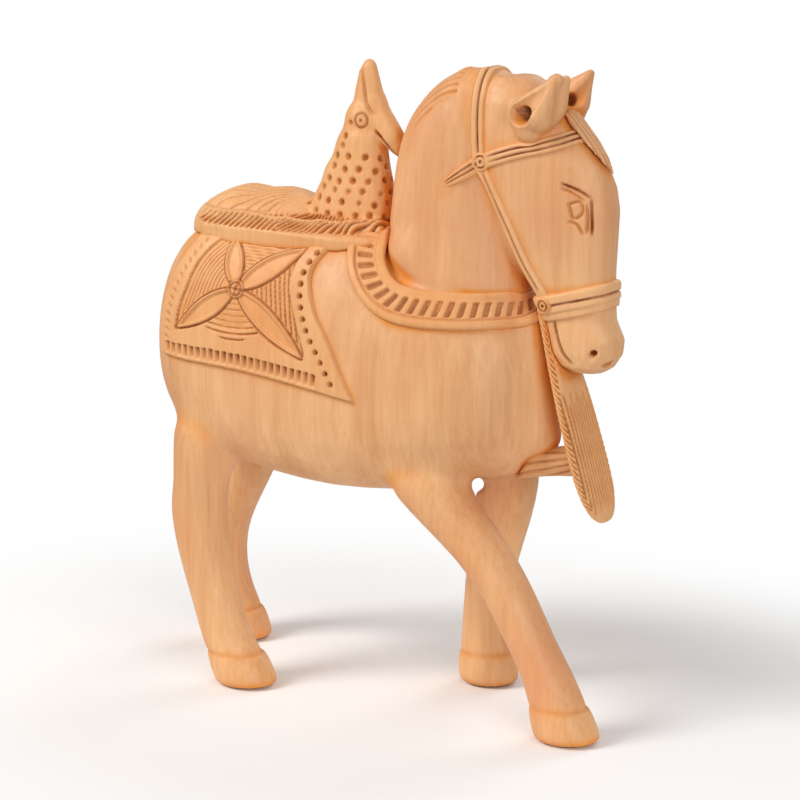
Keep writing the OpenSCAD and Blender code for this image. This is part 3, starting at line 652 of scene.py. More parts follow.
# A closed strip that hugs the skin. relief(along, across) gives height share, cut and shade.
def layStrip(node, path, width, rise, tree, relief, loop=False, root=0.7, rounding=5.0, endTaper=0.0,
             step=detail["patchStep"], narrowing=0.0):
    path = np.array(path, float)
    if loop:
        path = np.concatenate([path, path[:1]])
    rough = curveThrough(path, 400)
    travelled = np.concatenate([[0], np.cumsum(np.linalg.norm(np.diff(rough, axis=0), axis=1))])
    length = travelled[-1]
    count = int(length / step) + 2
    centre = np.stack([np.interp(np.linspace(0, length, count), travelled, rough[:, axis]) for axis in range(3)], 1)
    onSkin, up = seatOn(tree, centre[:-1] if loop else centre)

    def evened(values, reach=6):
        kernel = np.hanning(2 * reach + 3)[1:-1]
        kernel /= kernel.sum()
        mode = "wrap" if loop else "edge"
        return np.stack([np.convolve(np.pad(values[:, k], reach, mode=mode), kernel, "valid") for k in range(3)], 1)
    onSkin, up = evened(onSkin), evened(up)
    ahead = np.gradient(onSkin, axis=0) if not loop else np.roll(onSkin, -1, 0) - np.roll(onSkin, 1, 0)
    across = np.cross(ahead, up)
    across /= np.linalg.norm(across, axis=1, keepdims=True)
    share = np.linspace(-1, 1, max(9, int(width / step) | 1))
    share = np.sign(share) * np.abs(share) ** 0.9
    along = np.linspace(0, length, len(onSkin))
    half = width / 2 * (1 - narrowing * (along / length) ** 2)[:, None]
    ends = tapered(along, length, endTaper) if endTaper else 1
    rings, cut, shade = [], [], []
    for lane in share:
        base, lift = seatOn(tree, onSkin + across * lane * half)
        lift = evened(lift, 3)
        lift /= np.linalg.norm(lift, axis=1, keepdims=True)
        height, ownCut, ownShade = relief(along, np.full(len(along), lane))
        profile = (1 - abs(lane) ** rounding) ** 0.5 if abs(lane) < 1 else 0
        raised = rise * profile * height * ends - 0.25 * (abs(lane) >= 1)
        rings.append(base + lift * np.broadcast_to(raised, len(along))[:, None])
        cut.append(np.broadcast_to(ownCut, len(along)))
        shade.append(np.broadcast_to(ownShade, len(along)))
    for lane in (0.9, -0.9):  # the hidden underside
        base, lift = seatOn(tree, onSkin + across * lane * half)
        rings.append(base - lift * root)
        cut.append(np.zeros(len(along)))
        shade.append(np.zeros(len(along)))
    columns, rows = len(rings), len(along)
    points = np.stack(rings, 1).reshape(-1, 3)  # row by row along the strip
    index = np.arange(rows * columns).reshape(rows, columns)
    nextRow = np.roll(index, -1, 0) if loop else index[1:]
    thisRow = index if loop else index[:-1]
    quads = np.stack([thisRow, np.roll(thisRow, -1, 1), np.roll(nextRow, -1, 1), nextRow], -1).reshape(-1, 4)
    faces = [quads]
    if not loop:
        for row, turn in ((index[0], -1), (index[-1], 1)):
            points = np.concatenate([points, points[row].mean(axis=0)[None]])
            faces.append(np.stack([row, np.roll(row, -1), np.full(columns, len(points) - 1)], 1)[:, ::turn])
    hubs = np.zeros(len(points) - rows * columns)
    closeSolid(node, points, faces, np.concatenate([np.stack(cut, 1).ravel(), hubs]), 0.4,
               np.concatenate([np.stack(shade, 1).ravel(), hubs]))


def closeSolid(node, points, faces, cut, hollows, shade=0.0):
    turn = -1 if insideOut(points, faces[0]) else 1
    faces = [part.astype(np.int32)[:, ::turn] for part in faces]
    normals = normalsOf(points, faces)
    # painted shade and wax where nearby solids hide the surface
    shade = np.maximum(hollowness(points, normals) * hollows, shade)
    makePiece("carved_" + node, points, faces, harnessWood, np.concatenate([normals[part.ravel()] for part in faces]),
              dict(cut=cut, shade=shade), (node,))


def grooved(lines, width, depth, brown=1.0, first=0.0, last=1.0):
    def relief(along, across):
        share = np.zeros(len(along))
        for line in lines:
            share = np.maximum(share, pointed(np.abs(across - line), width))
        run = along / along.max()
        share = share * np.clip(np.minimum(run - first, last - run) / 0.05, 0, 1)
        return 1 - depth * share, brown * np.clip(share * 1.6, 0, 1), 0
    return relief


bridle = dict(
    width=4.6, rise=0.9,
    grooveWidth=0.4,    # share of half the strap
    grooveDepth=0.8,
    nosebandWidth=8.6, nosebandRise=1.6,
    bossSize=5.4, bossRise=1.5,
    crown=[(40.1, -11.4, 177.6), (39.6, -11.6, 184.7), (39.2, -11.0, 193.8), (39.2, -8.8, 201.0), (38.8, -4.6, 204.6),
           (38.6, 0, 205.6)],
    brow=[(40.1, -11.4, 177.6), (47.8, -12.9, 180.5), (54.4, -12.2, 182.5), (61.8, -9.7, 184.2), (67.0, -5.4, 185.3),
          (69.0, 0, 185.6)],
    cheek=[(40.1, -11.4, 177.6), (45.2, -12.5, 168), (50.5, -12, 157.5), (55, -11, 147.5), (60.2, -9.8, 138.6),
           (61.4, -9.8, 136.2)],
    throat=[(40.1, -11.4, 177.6), (35.4, -14.4, 174.2), (30.2, -16.0, 170.9)],
    nose=[(59.0, -9.4, 132.9), (66, -10.2, 134.7), (74, -9.0, 136.7), (79.6, -4.5, 138.3), (80.6, 0, 138.7),
          (79.6, 4.5, 138.3), (74, 9.0, 136.7), (66, 10.2, 134.7), (59.0, 9.4, 132.9), (56, 4.0, 132.1),
          (55.6, 0, 132.0), (56, -4.0, 132.1)],
    cheekBoss=(41.2, 12, 178.2), noseBoss=(61.4, 12, 134.6),
)


def mirrored(path, side=-1):
    return [(x, y * side, z) for x, y, z in path]


def overTop(path):  # up one side, over the middle and down the other
    return path + mirrored(path[:-1])[::-1]


def layStrap(node, path, extra=0.0, lines=(0.0,), groove=bridle["grooveWidth"], first=0.06, last=0.94, **shape):
    layStrip(node, path, bridle["width"] + extra, bridle["rise"], headTree,
             grooved(lines, groove, bridle["grooveDepth"], first=first, last=last), **shape)


layStrap("crown_strap", overTop(bridle["crown"]), first=0.02, last=0.98)
layStrap("browband", overTop(bridle["brow"]), 0.6, (-0.34, 0.34), 0.36, 0.05, 0.95)
for label, side in (("right", 1), ("left", -1)):
    layStrap(label + "_cheek_strap", mirrored(bridle["cheek"], side))
    layStrap(label + "_throat_strap", mirrored(bridle["throat"], side), 0.6, (-0.15, 0.42), 0.34, 0.15, 1.0,
             endTaper=0.35, narrowing=0.55)
print("bridle straps laid")


def nosebandRelief(along, across):
    groove = pointed(np.abs(across + 0.18), 0.24)
    return 1 - 0.45 * groove - 0.32 * smoothStep(across, 0.3, 0.42), np.clip(1.7 * groove, 0, 1), 0


layStrip("noseband", bridle["nose"], bridle["nosebandWidth"], bridle["nosebandRise"], headTree, nosebandRelief,
         loop=True, rounding=8)


# Profile of a turned button: share of radius, share of rise, stain.
buttonProfile = [(1, 0.0, 0), (0.99, 0.6, 0), (0.93, 0.9, 0), (0.84, 1, 0), (0.76, 1, 0.1), (0.71, 0.94, 0.5),
                 (0.66, 0.72, 1), (0.60, 0.68, 1), (0.55, 0.74, 0.9), (0.49, 0.95, 0.3), (0.42, 1, 0), (0.30, 1, 0),
                 (0.22, 0.98, 0.2), (0.17, 0.8, 1), (0.1, 0.55, 1), (0.03, 0.5, 1)]


# A turned button: raised ring and centre dot, its axis along the skin's normal.
def turnButton(node, place, side, size, rise, sink=1.2, turns=64):
    spot, up = headTree.find_nearest(Vector((place[0], place[1] * side, place[2])))[:2]
    up = up.normalized()
    first = up.orthogonal().normalized()
    second = up.cross(first)
    spot, up, first, second = (np.array(v) for v in (spot, up, first, second))
    profile = [(size / 2, -sink, 0)] + [(size / 2 * r, rise * h, stain) for r, h, stain in buttonProfile]
    angle = np.arange(turns) * 2 * math.pi / turns
    rings = [spot + up * h + (first[None] * np.cos(angle)[:, None] + second[None] * np.sin(angle)[:, None]) * radius
             for radius, h, _ in profile]
    points = np.concatenate(rings + [[spot + up * profile[-1][1]], [spot - up * sink]])
    index = np.arange(len(profile) * turns).reshape(len(profile), turns)
    quads = np.stack([index[:-1], np.roll(index[:-1], -1, 1), np.roll(index[1:], -1, 1), index[1:]], -1).reshape(-1, 4)
    top, bottom = len(points) - 2, len(points) - 1
    fans = np.concatenate([np.stack([index[-1], np.roll(index[-1], -1), np.full(turns, top)], 1),
                           np.stack([np.roll(index[0], -1), index[0], np.full(turns, bottom)], 1)])
    cut = np.repeat([float(stain) for _, _, stain in profile], turns)
    closeSolid(node, points, [quads, fans], np.concatenate([cut, [1, 0]]), 0.6)


for label, side in (("right", -1), ("left", 1)):
    turnButton(label + "_bridle_boss", bridle["cheekBoss"], side, bridle["bossSize"] + 0.6, bridle["bossRise"])
    turnButton(label + "_nose_boss", bridle["noseBoss"], side, bridle["bossSize"], bridle["nosebandRise"] + 0.5)
print("noseband and bosses done")


# Collar.
collar = dict(
    width=12.5, rise=1.9,
    gouges=46,          # slanted gouges all the way round
    gougeWidth=0.52,    # share of the spacing
    gougeDepth=0.75,
    slant=0.55,
)


collarSide = [(50.5, 8, 132.6), (44, 15.5, 132.6), (36, 20.5, 132.6), (26, 23.5, 132.8), (17, 24.8, 134.2),
              (10, 23.5, 138), (4.5, 20, 144), (1.5, 14, 149.5), (0, 7, 153.5)]
collarPath = [(52.5, 0, 132.6)] + mirrored(collarSide) + [(-0.5, 0, 154.5)] + collarSide[::-1]


def collarRelief(along, across):
    total = along.max() + along[1] - along[0]
    phase = (along / total * collar["gouges"] + across * collar["slant"]) % 1
    lane = np.clip(1 - (np.abs(phase - 0.5) / (collar["gougeWidth"] / 2)) ** 2, 0, 1)
    lane = np.sqrt(lane) * (1 - smoothStep(np.abs(across - 0.02), 0.3, 0.46))
    rim = (across < -0.55).astype(float)
    seam = pointed(np.abs(across + 0.5), 0.16)
    height = 0.78 + 0.22 * rim - 0.3 * seam - collar["gougeDepth"] * 0.78 * lane - 0.1 * (across > 0.5)
    # shade: wax colour with painted shade in the gouges and along the seam
    return height, np.clip(lane * 1.1, 0, 1) * 0.62 + 0.25 * seam, lane * 0.5 + 0.5 * seam


layStrip("collar", collarPath, collar["width"], collar["rise"], bodyTree, collarRelief, loop=True, rounding=10,
         root=1.0, step=0.28)
print("collar done")


# Saddle blanket with its flower.
# Line work in the side view: (along X, up Z), both flanks alike.
blanket = dict(
    rise=1.5,
    fieldDrop=0.75,      # field below the border bands
    hatchDepth=0.55,
    dots=14, dotSize=1.9, dashes=15,
    notches=23, notchSize=(1.7, 3.8),
    petalWidth=3.7,
    hem=[(-70.5, 109.2), (-60, 108.8), (-38.7, 107.9), (-15.4, 105.4), (5.3, 102.2)],
    front=[(5.3, 102.2), (0.2, 111.5), (-4.8, 121), (-9.8, 128.7), (-12.6, 136), (-13.4, 141), (-11.4, 146),
           (-7.5, 150)],
    back=[(-59, 151.5), (-62.5, 146.5), (-66.5, 141), (-69, 135), (-70.4, 128), (-71.0, 119), (-70.5, 109.2)],
    fieldBack=[(-46.0, 150.3), (-52.5, 146.5), (-57.2, 141), (-60.3, 133), (-62.6, 126), (-63.8, 119)],
    fieldFront=[(-15.8, 148.2), (-19.4, 142), (-20.0, 136), (-17.8, 129.5), (-12.4, 115.5)],
    dotLine=[(-11.1, 148.6), (-14.4, 143.2), (-15.7, 138.6), (-15.2, 131.6), (-12.0, 122.6), (-7.3, 115),
             (-2.0, 106.4)],
    dashLine=[(-54.5, 149.5), (-58.6, 145), (-62.2, 139), (-65.2, 132), (-66.9, 124), (-67.4, 115)],
    heart=(-40.2, 133.4),
    petals=[(-45.2, 148.8), (-16.4, 147.3), (-12.8, 113.6), (-63.4, 119.2)],
)


def carveBlanket(places):  # places are (along X, up the flank); gives height, cut and shade
    height, cut, shade = np.ones(len(places)), np.zeros(len(places)), np.zeros(len(places))

    # warm: wax colour with painted shade, laid in the carved hollows
    def take(share, depth, brown=0.0, warm=0.0):
        nonlocal height, cut, shade
        height = np.minimum(height, 1 - depth * share / blanket["rise"]) if depth else height
        cut = np.maximum(cut, brown * share)
        shade = np.maximum(shade, warm * share)
    heart = np.array(flat(*blanket["heart"]))
    tips = [np.array(flat(*tip)) for tip in blanket["petals"]]
    backLine = curveThrough([flat(*p) for p in blanket["fieldBack"]])
    frontLine = curveThrough([flat(*p) for p in blanket["fieldFront"]])
    field = inside(places, np.concatenate([backLine, [flat(-62, 116.5), flat(-38, 115.0), flat(-13.2, 112.6)],
                                           frontLine[::-1], [flat(-30, 150.6)]]))
    # petals: leaf outlines with a raised rim and a hollow middle
    petal, rim, hollow = np.zeros(len(places), bool), np.zeros(len(places)), np.zeros(len(places))
    outside = np.full(len(places), 99.0)
    for tip in tips:
        axis = tip - heart
        reach = np.linalg.norm(axis)
        axis = axis / reach
        run = (places - heart) @ axis
        off = (places - heart) @ np.array([-axis[1], axis[0]])
        share = np.clip(run / reach, 0, 1)
        wide = blanket["petalWidth"] * (np.sin(math.pi * share ** 0.85)) ** 0.8 * (1 if reach < 20 else 1.08)
        here = (run > 0) & (run < reach)
        gap = np.where(here, np.abs(off) - wide, 99)
        petal |= gap < 0
        outside = np.minimum(outside, np.abs(gap))
        hollow = np.maximum(hollow, np.clip((-gap - 1.0) / 0.7, 0, 1) * here)
        rim = np.maximum(rim, pointed(np.abs(gap + 1.0), 0.9) * here)
    relative = places - heart
    far = np.linalg.norm(relative, axis=1)
    bearing = np.degrees(np.arctan2(relative[:, 1], relative[:, 0])) % 360
    spans = [math.degrees(math.atan2(*(tip - heart)[::-1])) % 360 for tip in (tips[1], tips[0], tips[3], tips[2])]
    below = (bearing > spans[2]) & (bearing < spans[3])
    worked = np.where(below, 1 - smoothStep(far, 11.5, 15.5), 1)
    depth = smoothStep(outside * np.where(petal, -1, 1), -0.2, 0.5) * field * worked
    take(depth, blanket["fieldDrop"], 0.0, 0.32)
    take(hollow * field, 0.9, 0.0, 0.1)
    take(rim * field * smoothStep(hollow, 0, 0.2), 0.3, 0.4)
    take(pointed(np.abs(outside - 0.1), 0.85) * field, 1.15, 0.95, 0.7)
    # hatching between the petals
    free = field & ~petal & (outside > 0.5)
    top = free & (bearing > spans[0]) & (bearing < spans[1])
    rear = free & (bearing > spans[1]) & (bearing < spans[2])
    low = free & (bearing > spans[2]) & (bearing < spans[3])
    fore = free & ((bearing > spans[3]) | (bearing < spans[0]))

    def hatch(where, phase, width, depth, brown):
        take(lanes(phase, width / 2) * where, depth, brown, 0.6)
    base = blanket["fieldDrop"]
    hatch(top, (places[:, 1] + 0.05 * places[:, 0]) / 1.12, 0.55, base + blanket["hatchDepth"], 0.6)
    backGap = nearPath(places, np.concatenate([backLine, [tips[3]]]))[0]
    hatch(rear & (backGap > 0.8) & (backGap < 13), backGap / 1.35, 0.55, base + blanket["hatchDepth"], 0.6)
    hatch(fore, (places[:, 0] + 0.18 * places[:, 1]) / 1.75, 0.5, base + blanket["hatchDepth"] * 1.2, 0.95)
    hatch(low & (far > 3.6) & (far < 16.5), (relative[:, 1] - 0.012 * relative[:, 0] ** 2) / 1.9, 0.42,
          base + blanket["hatchDepth"] * 0.8, 0.5)
    # wall of the field
    edge = np.minimum(nearPath(places, backLine)[0], nearPath(places, frontLine)[0])
    take(pointed(edge, 1.8) * field, 1.0, 0.5, 0.9)
    # ring and dot in the middle
    height = np.where(far < 3.0, 1.12, height)
    take(pointed(np.abs(far - 2.1), 0.9), 0.75, 1.0)
    take(rounded(far, 1.3), 0.8, 1.0)
    take(pointed(np.abs(far - 3.15), 0.8), 1.0, 0.6)
    # drilled dots, dashes and gouge notches along the borders
    dotCurve = curveThrough([flat(*p) for p in blanket["dotLine"]], 400)
    for spot in evenSpots(dotCurve, blanket["dots"]):
        gap = np.linalg.norm(places - spot, axis=1)
        take(rounded(gap, blanket["dotSize"]) ** 0.6, 1.5, 0.0)
        take(rounded(gap, blanket["dotSize"] * 0.98), 1.5, 1.0)
        # painted shade and wax in a ring round each drilled dot, where nothing is cut
        take(pointed(gap, blanket["dotSize"] * 2.0), 0.0, 0.0, 0.35)
    dashCurve = curveThrough([flat(*p) for p in blanket["dashLine"]], 400)
    count = blanket["dashes"]
    for spot, ahead in zip(evenSpots(dashCurve, count), evenSpots(dashCurve, count, 0.4)):
        way = (ahead - spot) / np.linalg.norm(ahead - spot)
        turned = np.array([way[0] * 0.5 - way[1], way[1] * 0.5 + way[0]])
        turned /= np.linalg.norm(turned)
        gap = np.sqrt(((places - spot) @ turned / 1.5) ** 2 + ((places - spot) @ [-turned[1], turned[0]] / 0.75) ** 2)
        take(rounded(gap, 2.0), 0.45, 0.3, 0.35)
    hemCurve = curveThrough([flat(*p) for p in blanket["hem"]], 400)
    gap, run, _, total = nearPath(places, hemCurve)
    width, tall = blanket["notchSize"]
    spacing = (total - 16) / blanket["notches"]
    lean = run + (gap - 3.2) * 0.15
    number = np.floor((lean - 2.5) / spacing)
    across = np.abs((lean - 2.5) - (number + 0.5) * spacing) / (width / 2 * 1.15)
    up = np.clip((gap - 1.3) / tall, 0, 1)
    notch = np.clip(1 - across ** 2, 0, 1) * (gap > 1.3) * (gap < 1.3 + tall) * (number >= 0) \
        * (number < blanket["notches"]) * (0.25 + 0.75 * np.sqrt(np.clip(up, 0, 1)))
    take(notch, 1.35, 0.0, 0.5)
    take(notch * np.sqrt(up), 0.0, 0.95, 0.6)
    return height, cut, shade


def evenSpots(curve, count, shift=0.0):
    steps = np.concatenate([[0], np.cumsum(np.linalg.norm(np.diff(curve, axis=0), axis=1))])
    wanted = np.linspace(0.2, steps[-1] - 0.8, count) + shift
    return np.stack([np.interp(wanted, steps, curve[:, k]) for k in range(2)], 1)


# Height on the flank as a length along the skin, so that patterns keep their shape where the back turns over.
flankZ = np.linspace(96, 152.5, 220)
flankHits = [bodyTree.ray_cast(Vector((-38, -80, z)), Vector((0, 1, 0)))[0] for z in flankZ]
flankY = np.array([hit.y if hit else np.nan for hit in flankHits])
good = ~np.isnan(flankY)
flankZ, flankY = flankZ[good], flankY[good]
flankRun = np.concatenate([[0], np.cumsum(np.hypot(np.diff(flankZ), np.diff(flankY)))])


def flat(x, z):
    return (x, float(np.interp(z, flankZ, flankRun)))


def layBlanket(side):
    step = detail["patchStep"]
    xs = np.arange(-72, 7, step)
    runs = np.arange(flat(0, 100)[1], flat(0, 152)[1], step)
    zs = np.interp(runs, flankRun, flankZ)
    slope = np.arctan2(zs - 112, -np.interp(zs, flankZ, flankY))
    points = np.zeros((len(xs), len(runs), 3))
    lift = np.zeros_like(points)
    lift[..., 2] = 1
    for i, x in enumerate(xs):
        for j, a in enumerate(slope):
            out = Vector((0, side * math.cos(a), math.sin(a)))
            hit, up = bodyTree.ray_cast(Vector((x, 0, 112)), out)[:2]
            if hit:
                points[i, j], lift[i, j] = hit, up
    for axis in (0, 1):
        lift = (np.roll(lift, 1, axis) + lift + np.roll(lift, -1, axis)) / 3
    lift /= np.linalg.norm(lift, axis=2, keepdims=True)
    places = np.stack(np.meshgrid(xs, runs, indexing="ij"), -1).reshape(-1, 2)
    hem, front, back = ([flat(*p) for p in blanket[key]] for key in ("hem", "front", "back"))
    outline = np.concatenate([curveThrough(back), curveThrough(hem), curveThrough(front)])
    isIn = inside(places, outline).reshape(len(xs), len(runs))
    gap = nearPath(places, outline)[0]
    signed = np.where(isIn.ravel(), gap, -gap)
    height, cut, shade = carveBlanket(places)
    edge = np.clip((signed + 0.15) / 0.6, 0, 1) ** 0.5
    raised = (blanket["rise"] * height * edge - 0.3 * (signed < -0.1)).reshape(len(xs), len(runs))
    shown = (signed > -step * 2.2).reshape(len(xs), len(runs))
    cell = shown[:-1, :-1] & shown[1:, :-1] & shown[:-1, 1:] & shown[1:, 1:]
    index = np.arange(len(xs) * len(runs)).reshape(len(xs), len(runs))
    quads = np.stack([index[:-1, :-1], index[1:, :-1], index[1:, 1:], index[:-1, 1:]], -1)[cell]
    top = (points + lift * raised[..., None]).reshape(-1, 3)
    under = (points - lift * 0.9).reshape(-1, 3)
    # painted shade and wax where nearby solids hide the surface
    shade = np.maximum(shade, hollowness(top, lift.reshape(-1, 3)) * 0.25)
    return closeSheet(top, under, quads[:, ::-1] if side > 0 else quads, cut, shade)


# Top and underside of a sheet with a wall between them.
def closeSheet(top, under, quads, cut, shade):
    rim = rimOf(quads, len(top))
    wall = np.stack([rim[:, 1], rim[:, 0], rim[:, 0] + len(top), rim[:, 1] + len(top)], 1)
    faces = np.concatenate([quads, quads[:, ::-1] + len(top), wall])
    points = np.concatenate([top, under])
    used, faces = np.unique(faces, return_inverse=True)
    faces = faces.reshape(-1, 4).astype(np.int32)
    marks = dict(cut=np.concatenate([cut, cut * 0])[used], shade=np.concatenate([shade, shade * 0])[used])
    return points[used], faces, marks


for label, side in (("right", -1), ("left", 1)):
    points, faces, marks = layBlanket(side)
    makePiece("carved_%s_blanket" % label, points, faces, carvedWood, normalsOf(points, faces)[faces.ravel()], marks,
              (label + "_blanket", label + "_flower"))
print("blanket carved on both flanks")


# Peacock on its pad.
peacock = dict(
    spread=1.5, reach=3.5, finish=0.45,
    pitDepth=1.15, pitSize=2.6, pitSpacing=4.5,
    eyePlace=(-6.3, 187.4), eyeRing=2.0, eyeWidth=0.95, eyeDot=1.1, eyeDepth=0.45,
    featherDepth=0.6, feathers=44, fanRoot=-27.0,
    fringeDepth=1.4, fringeSpacing=2.1, fringeLow=152.2, fringeHigh=157.2,
    beakCut=[(-2.4, 184.6), (1.6, 179.6), (5.4, 174.6)],
    crestCut=[(-8.2, 203.4), (-6.6, 197.6), (-5.2, 192.4), (-2.4, 188.8)],
    neck=[("add", (-6.6, 0, 203.2), (-4.2, 0, 192.5), 1.6, 3.2, 2.0),
          ("add", (-8.4, 0, 201.6), (-8.8, 0, 190.5), 1.5, 3.4, 1.5),
          ("add", (-9.2, 0, 188.5), (-12.6, 0, 178.5), 4.2, 5.0, 2.0),
          ("add", (-12.6, 0, 178.5), (-16.2, 0, 168.5), 5.0, 6.0, 2.0),
          ("add", (-16.2, 0, 168.5), (-19.6, 0, 157), 6.0, 8.4, 2.0),
          ("add", (-4.2, 0, 192.5), (2.4, 0, 182.6), 3.2, 2.8, 2.0)],
    skirt=[(-60, 13.5), (-52, 16.2), (-40, 16.6), (-28, 15.8), (-16, 14.8), (-6, 12), (0.5, 7), (2, 0)],
    skirtHeight=153.4,   # it slopes between the bird and its pad
    throat=bothSides([("cut", (0.8, 7.6, 177.5), (1.6, 9.6, 168), 3.0, 2.4, 1.5)]),
)
birdNames = ["peacock_body", "peacock_head", "peacock_beak", "peacock_crest", "peacock_train", "saddle_ledge"]
birdGrid = gridAround(birdNames, detail["birdStep"])
birdFields = {name: cadField(name, birdGrid) for name in birdNames}
birdField = knit(birdFields, [("peacock_body", "peacock_head", 4.0), ("peacock_head", "peacock_beak", 3.5),
                              ("peacock_head", "peacock_crest", 4.0), ("peacock_body", "peacock_train", 3.5),
                              ("peacock_body", "saddle_ledge", 2.0)],
                 birdGrid, peacock["spread"], peacock["finish"])
skirtRods = [("add", (x0, y0, peacock["skirtHeight"]), (x1, y1, peacock["skirtHeight"]), 2.5, 2.5, 2.4)
             for (x0, y0), (x1, y1) in zip(peacock["skirt"][:-1], peacock["skirt"][1:])]
birdField = workRods(birdField, birdGrid, peacock["neck"] + bothSides(skirtRods))
birdField = np.maximum(birdField, -(cadField("neck", birdGrid) - 0.1))
birdWork = newWork(workRods(birdField, birdGrid, peacock["throat"]), birdGrid)
birdTree = treeOf(birdWork)
p, n = birdWork["points"], birdWork["normals"]
pits = []  # staggered drill pits round neck and breast
for row, z in enumerate(np.arange(157.5, 187, peacock["pitSpacing"] * 0.8)):
    t = (z - 146) / 38
    backX, frontX, half = -32.6 + 18.5 * t ** 0.62, 5.0 - 6.2 * t, 12.0 - 5.4 * t
    around = int(math.pi * (frontX - backX) / 2 * 1.6 / peacock["pitSpacing"])
    for k in range(around):
        turn = 2 * math.pi * (k + 0.5 * (row % 2)) / around
        if z > 179 and math.cos(turn) > -0.35:
            continue
        pits.append(((backX + frontX) / 2 + (frontX - backX) / 2 * math.cos(turn) * 0.98, half * math.sin(turn), z))
onBird = (p[:, 2] > 155.5) & (p[:, 0] > -27)
for pit in pits:
    spot = np.array(birdTree.find_nearest(Vector(pit))[0]) + rng.normal(0, 0.35, 3)
    at = np.where(onBird & (np.abs(p - spot).max(axis=1) < 2.5))[0]
    gap = np.linalg.norm(p[at] - spot, axis=1)
    share = rounded(gap, peacock["pitSize"])
    cutAway(birdWork, peacock["pitDepth"] * share, 0.95 * share ** 1.2, at)
    # painted shade and wax round each pit, reaching past its cut
    birdWork["shade"][at] = np.maximum(birdWork["shade"][at], 0.6 * pointed(gap, 4.2))
eyeX, eyeZ = peacock["eyePlace"]
eyeGap = np.hypot(p[:, 0] - eyeX, (p[:, 2] - eyeZ) * 0.85)
ring = pointed(np.abs(eyeGap - peacock["eyeRing"]), peacock["eyeWidth"])
eye = np.maximum(ring, rounded(eyeGap, peacock["eyeDot"])) * (np.abs(n[:, 1]) > 0.4)
cutAway(birdWork, peacock["eyeDepth"] * eye, np.clip(1.5 * eye, 0, 1))
cutLine(birdWork, peacock["beakCut"], 1.2, 0.9)
cutLine(birdWork, peacock["crestCut"], 1.7, 0.6, brown=0.55)
# feathers fan over the train from its root
bearing = np.arctan2(p[:, 1], peacock["fanRoot"] - p[:, 0])
behind = (p[:, 0] < -29) & (p[:, 2] > 157.0)
lobes = np.abs(np.sin(bearing * peacock["feathers"] / 2))
vein = np.clip(1 - lobes / 0.42, 0, 1) * behind * smoothStep(-p[:, 0], 30, 36) * smoothStep(p[:, 2], 156.6, 157.6)
cutAway(birdWork, peacock["featherDepth"] * vein, 0.6 * vein)
# slanted cuts make the fringe under train and breast
side = np.abs(n[:, 2]) < 0.93
low, high = peacock["fringeLow"], peacock["fringeHigh"]
travel = p[:, 0] + 0.6 * np.abs(p[:, 1]) * np.sign(p[:, 0] + 30)
lean = 1.35 * smoothStep(-p[:, 0], 2, 30)
inBand = smoothStep(p[:, 2], low, low + 0.7) * (1 - smoothStep(p[:, 2], high - 1.0, high)) * side
inBand *= smoothStep(p[:, 0], -64, -60)
slits = lanes((travel - lean * (p[:, 2] - low)) / peacock["fringeSpacing"], 0.3) * inBand
cutAway(birdWork, peacock["fringeDepth"] * slits, 0.95 * slits)
line = pointed(np.abs(p[:, 2] - 157.4), 1.0) * side * (p[:, 0] < -36)
cutAway(birdWork, 0.35 * line, 0.35 * line)
finishSkin(birdWork, birdFields, birdGrid, birdNames, carvedWood)
print("peacock pits drilled:", len(pits))


# Throat plume and its strut.
plume = dict(
    flutes=14, fluteDepth=1.0, fluteTop=106, fluteFoot=69.5,
    ropeSpacing=1.9, ropeDepth=1.0,
    leafSpacing=1.6, leafDepth=0.6,
    spread=1.2, reach=3.0, finish=0.5,
    heights=[66, 68.5, 73, 80, 90, 102, 114, 124, 131],
    halfWidths=[3, 6.6, 9.4, 11, 11, 10.4, 8.6, 6.4, 4.6],
)
plumeNames = ["throat_plume", "plume_strut"]
plumeGrid = gridAround(plumeNames, detail["plumeStep"])
plumeFields = {name: cadField(name, plumeGrid) for name in plumeNames}
plumeField = knit(plumeFields, [(*plumeNames, plume["reach"])], plumeGrid, plume["spread"], plume["finish"])
plumeWork = newWork(plumeField, plumeGrid)
p, n = plumeWork["points"], plumeWork["normals"]
onPlume = sampled(plumeFields["throat_plume"], plumeGrid, p) < sampled(plumeFields["plume_strut"], plumeGrid, p) + 0.4
across = p[:, 1] / np.interp(p[:, 2], plume["heights"], plume["halfWidths"])
front = smoothStep(n[:, 0] + 0.3 * n[:, 2], 0.35, 0.7)
lane = ((p[:, 1] / 11.0) * plume["flutes"] / 2 + 0.5) % 1
drift = 1.2 * np.sin(p[:, 1] * 1.7)
reach = smoothStep(p[:, 2] + drift, plume["fluteFoot"], plume["fluteFoot"] + 3) \
    * (1 - smoothStep(p[:, 2] + drift * 1.5, plume["fluteTop"] - 1, plume["fluteTop"]))
flute = np.clip(1 - (np.abs(lane - 0.5) / 0.3) ** 1.5, 0, 1) * front * reach * (np.abs(across) < 0.94) * onPlume
cutAway(plumeWork, plume["fluteDepth"] * flute, 0.85 * flute ** 1.5)
# rope cuts along both edges
edgeOn = smoothStep(np.abs(n[:, 1]), 0.35, 0.7) * onPlume
travel = p[:, 2] + (p[:, 0] - 60 - 0.31 * (131 - p[:, 2])) * 0.9
rope = lanes(travel / plume["ropeSpacing"], 0.34) * edgeOn * smoothStep(p[:, 2], 69, 72) \
    * (1 - smoothStep(p[:, 2], 126, 130))
cutAway(plumeWork, plume["ropeDepth"] * rope, 0.7 * rope)
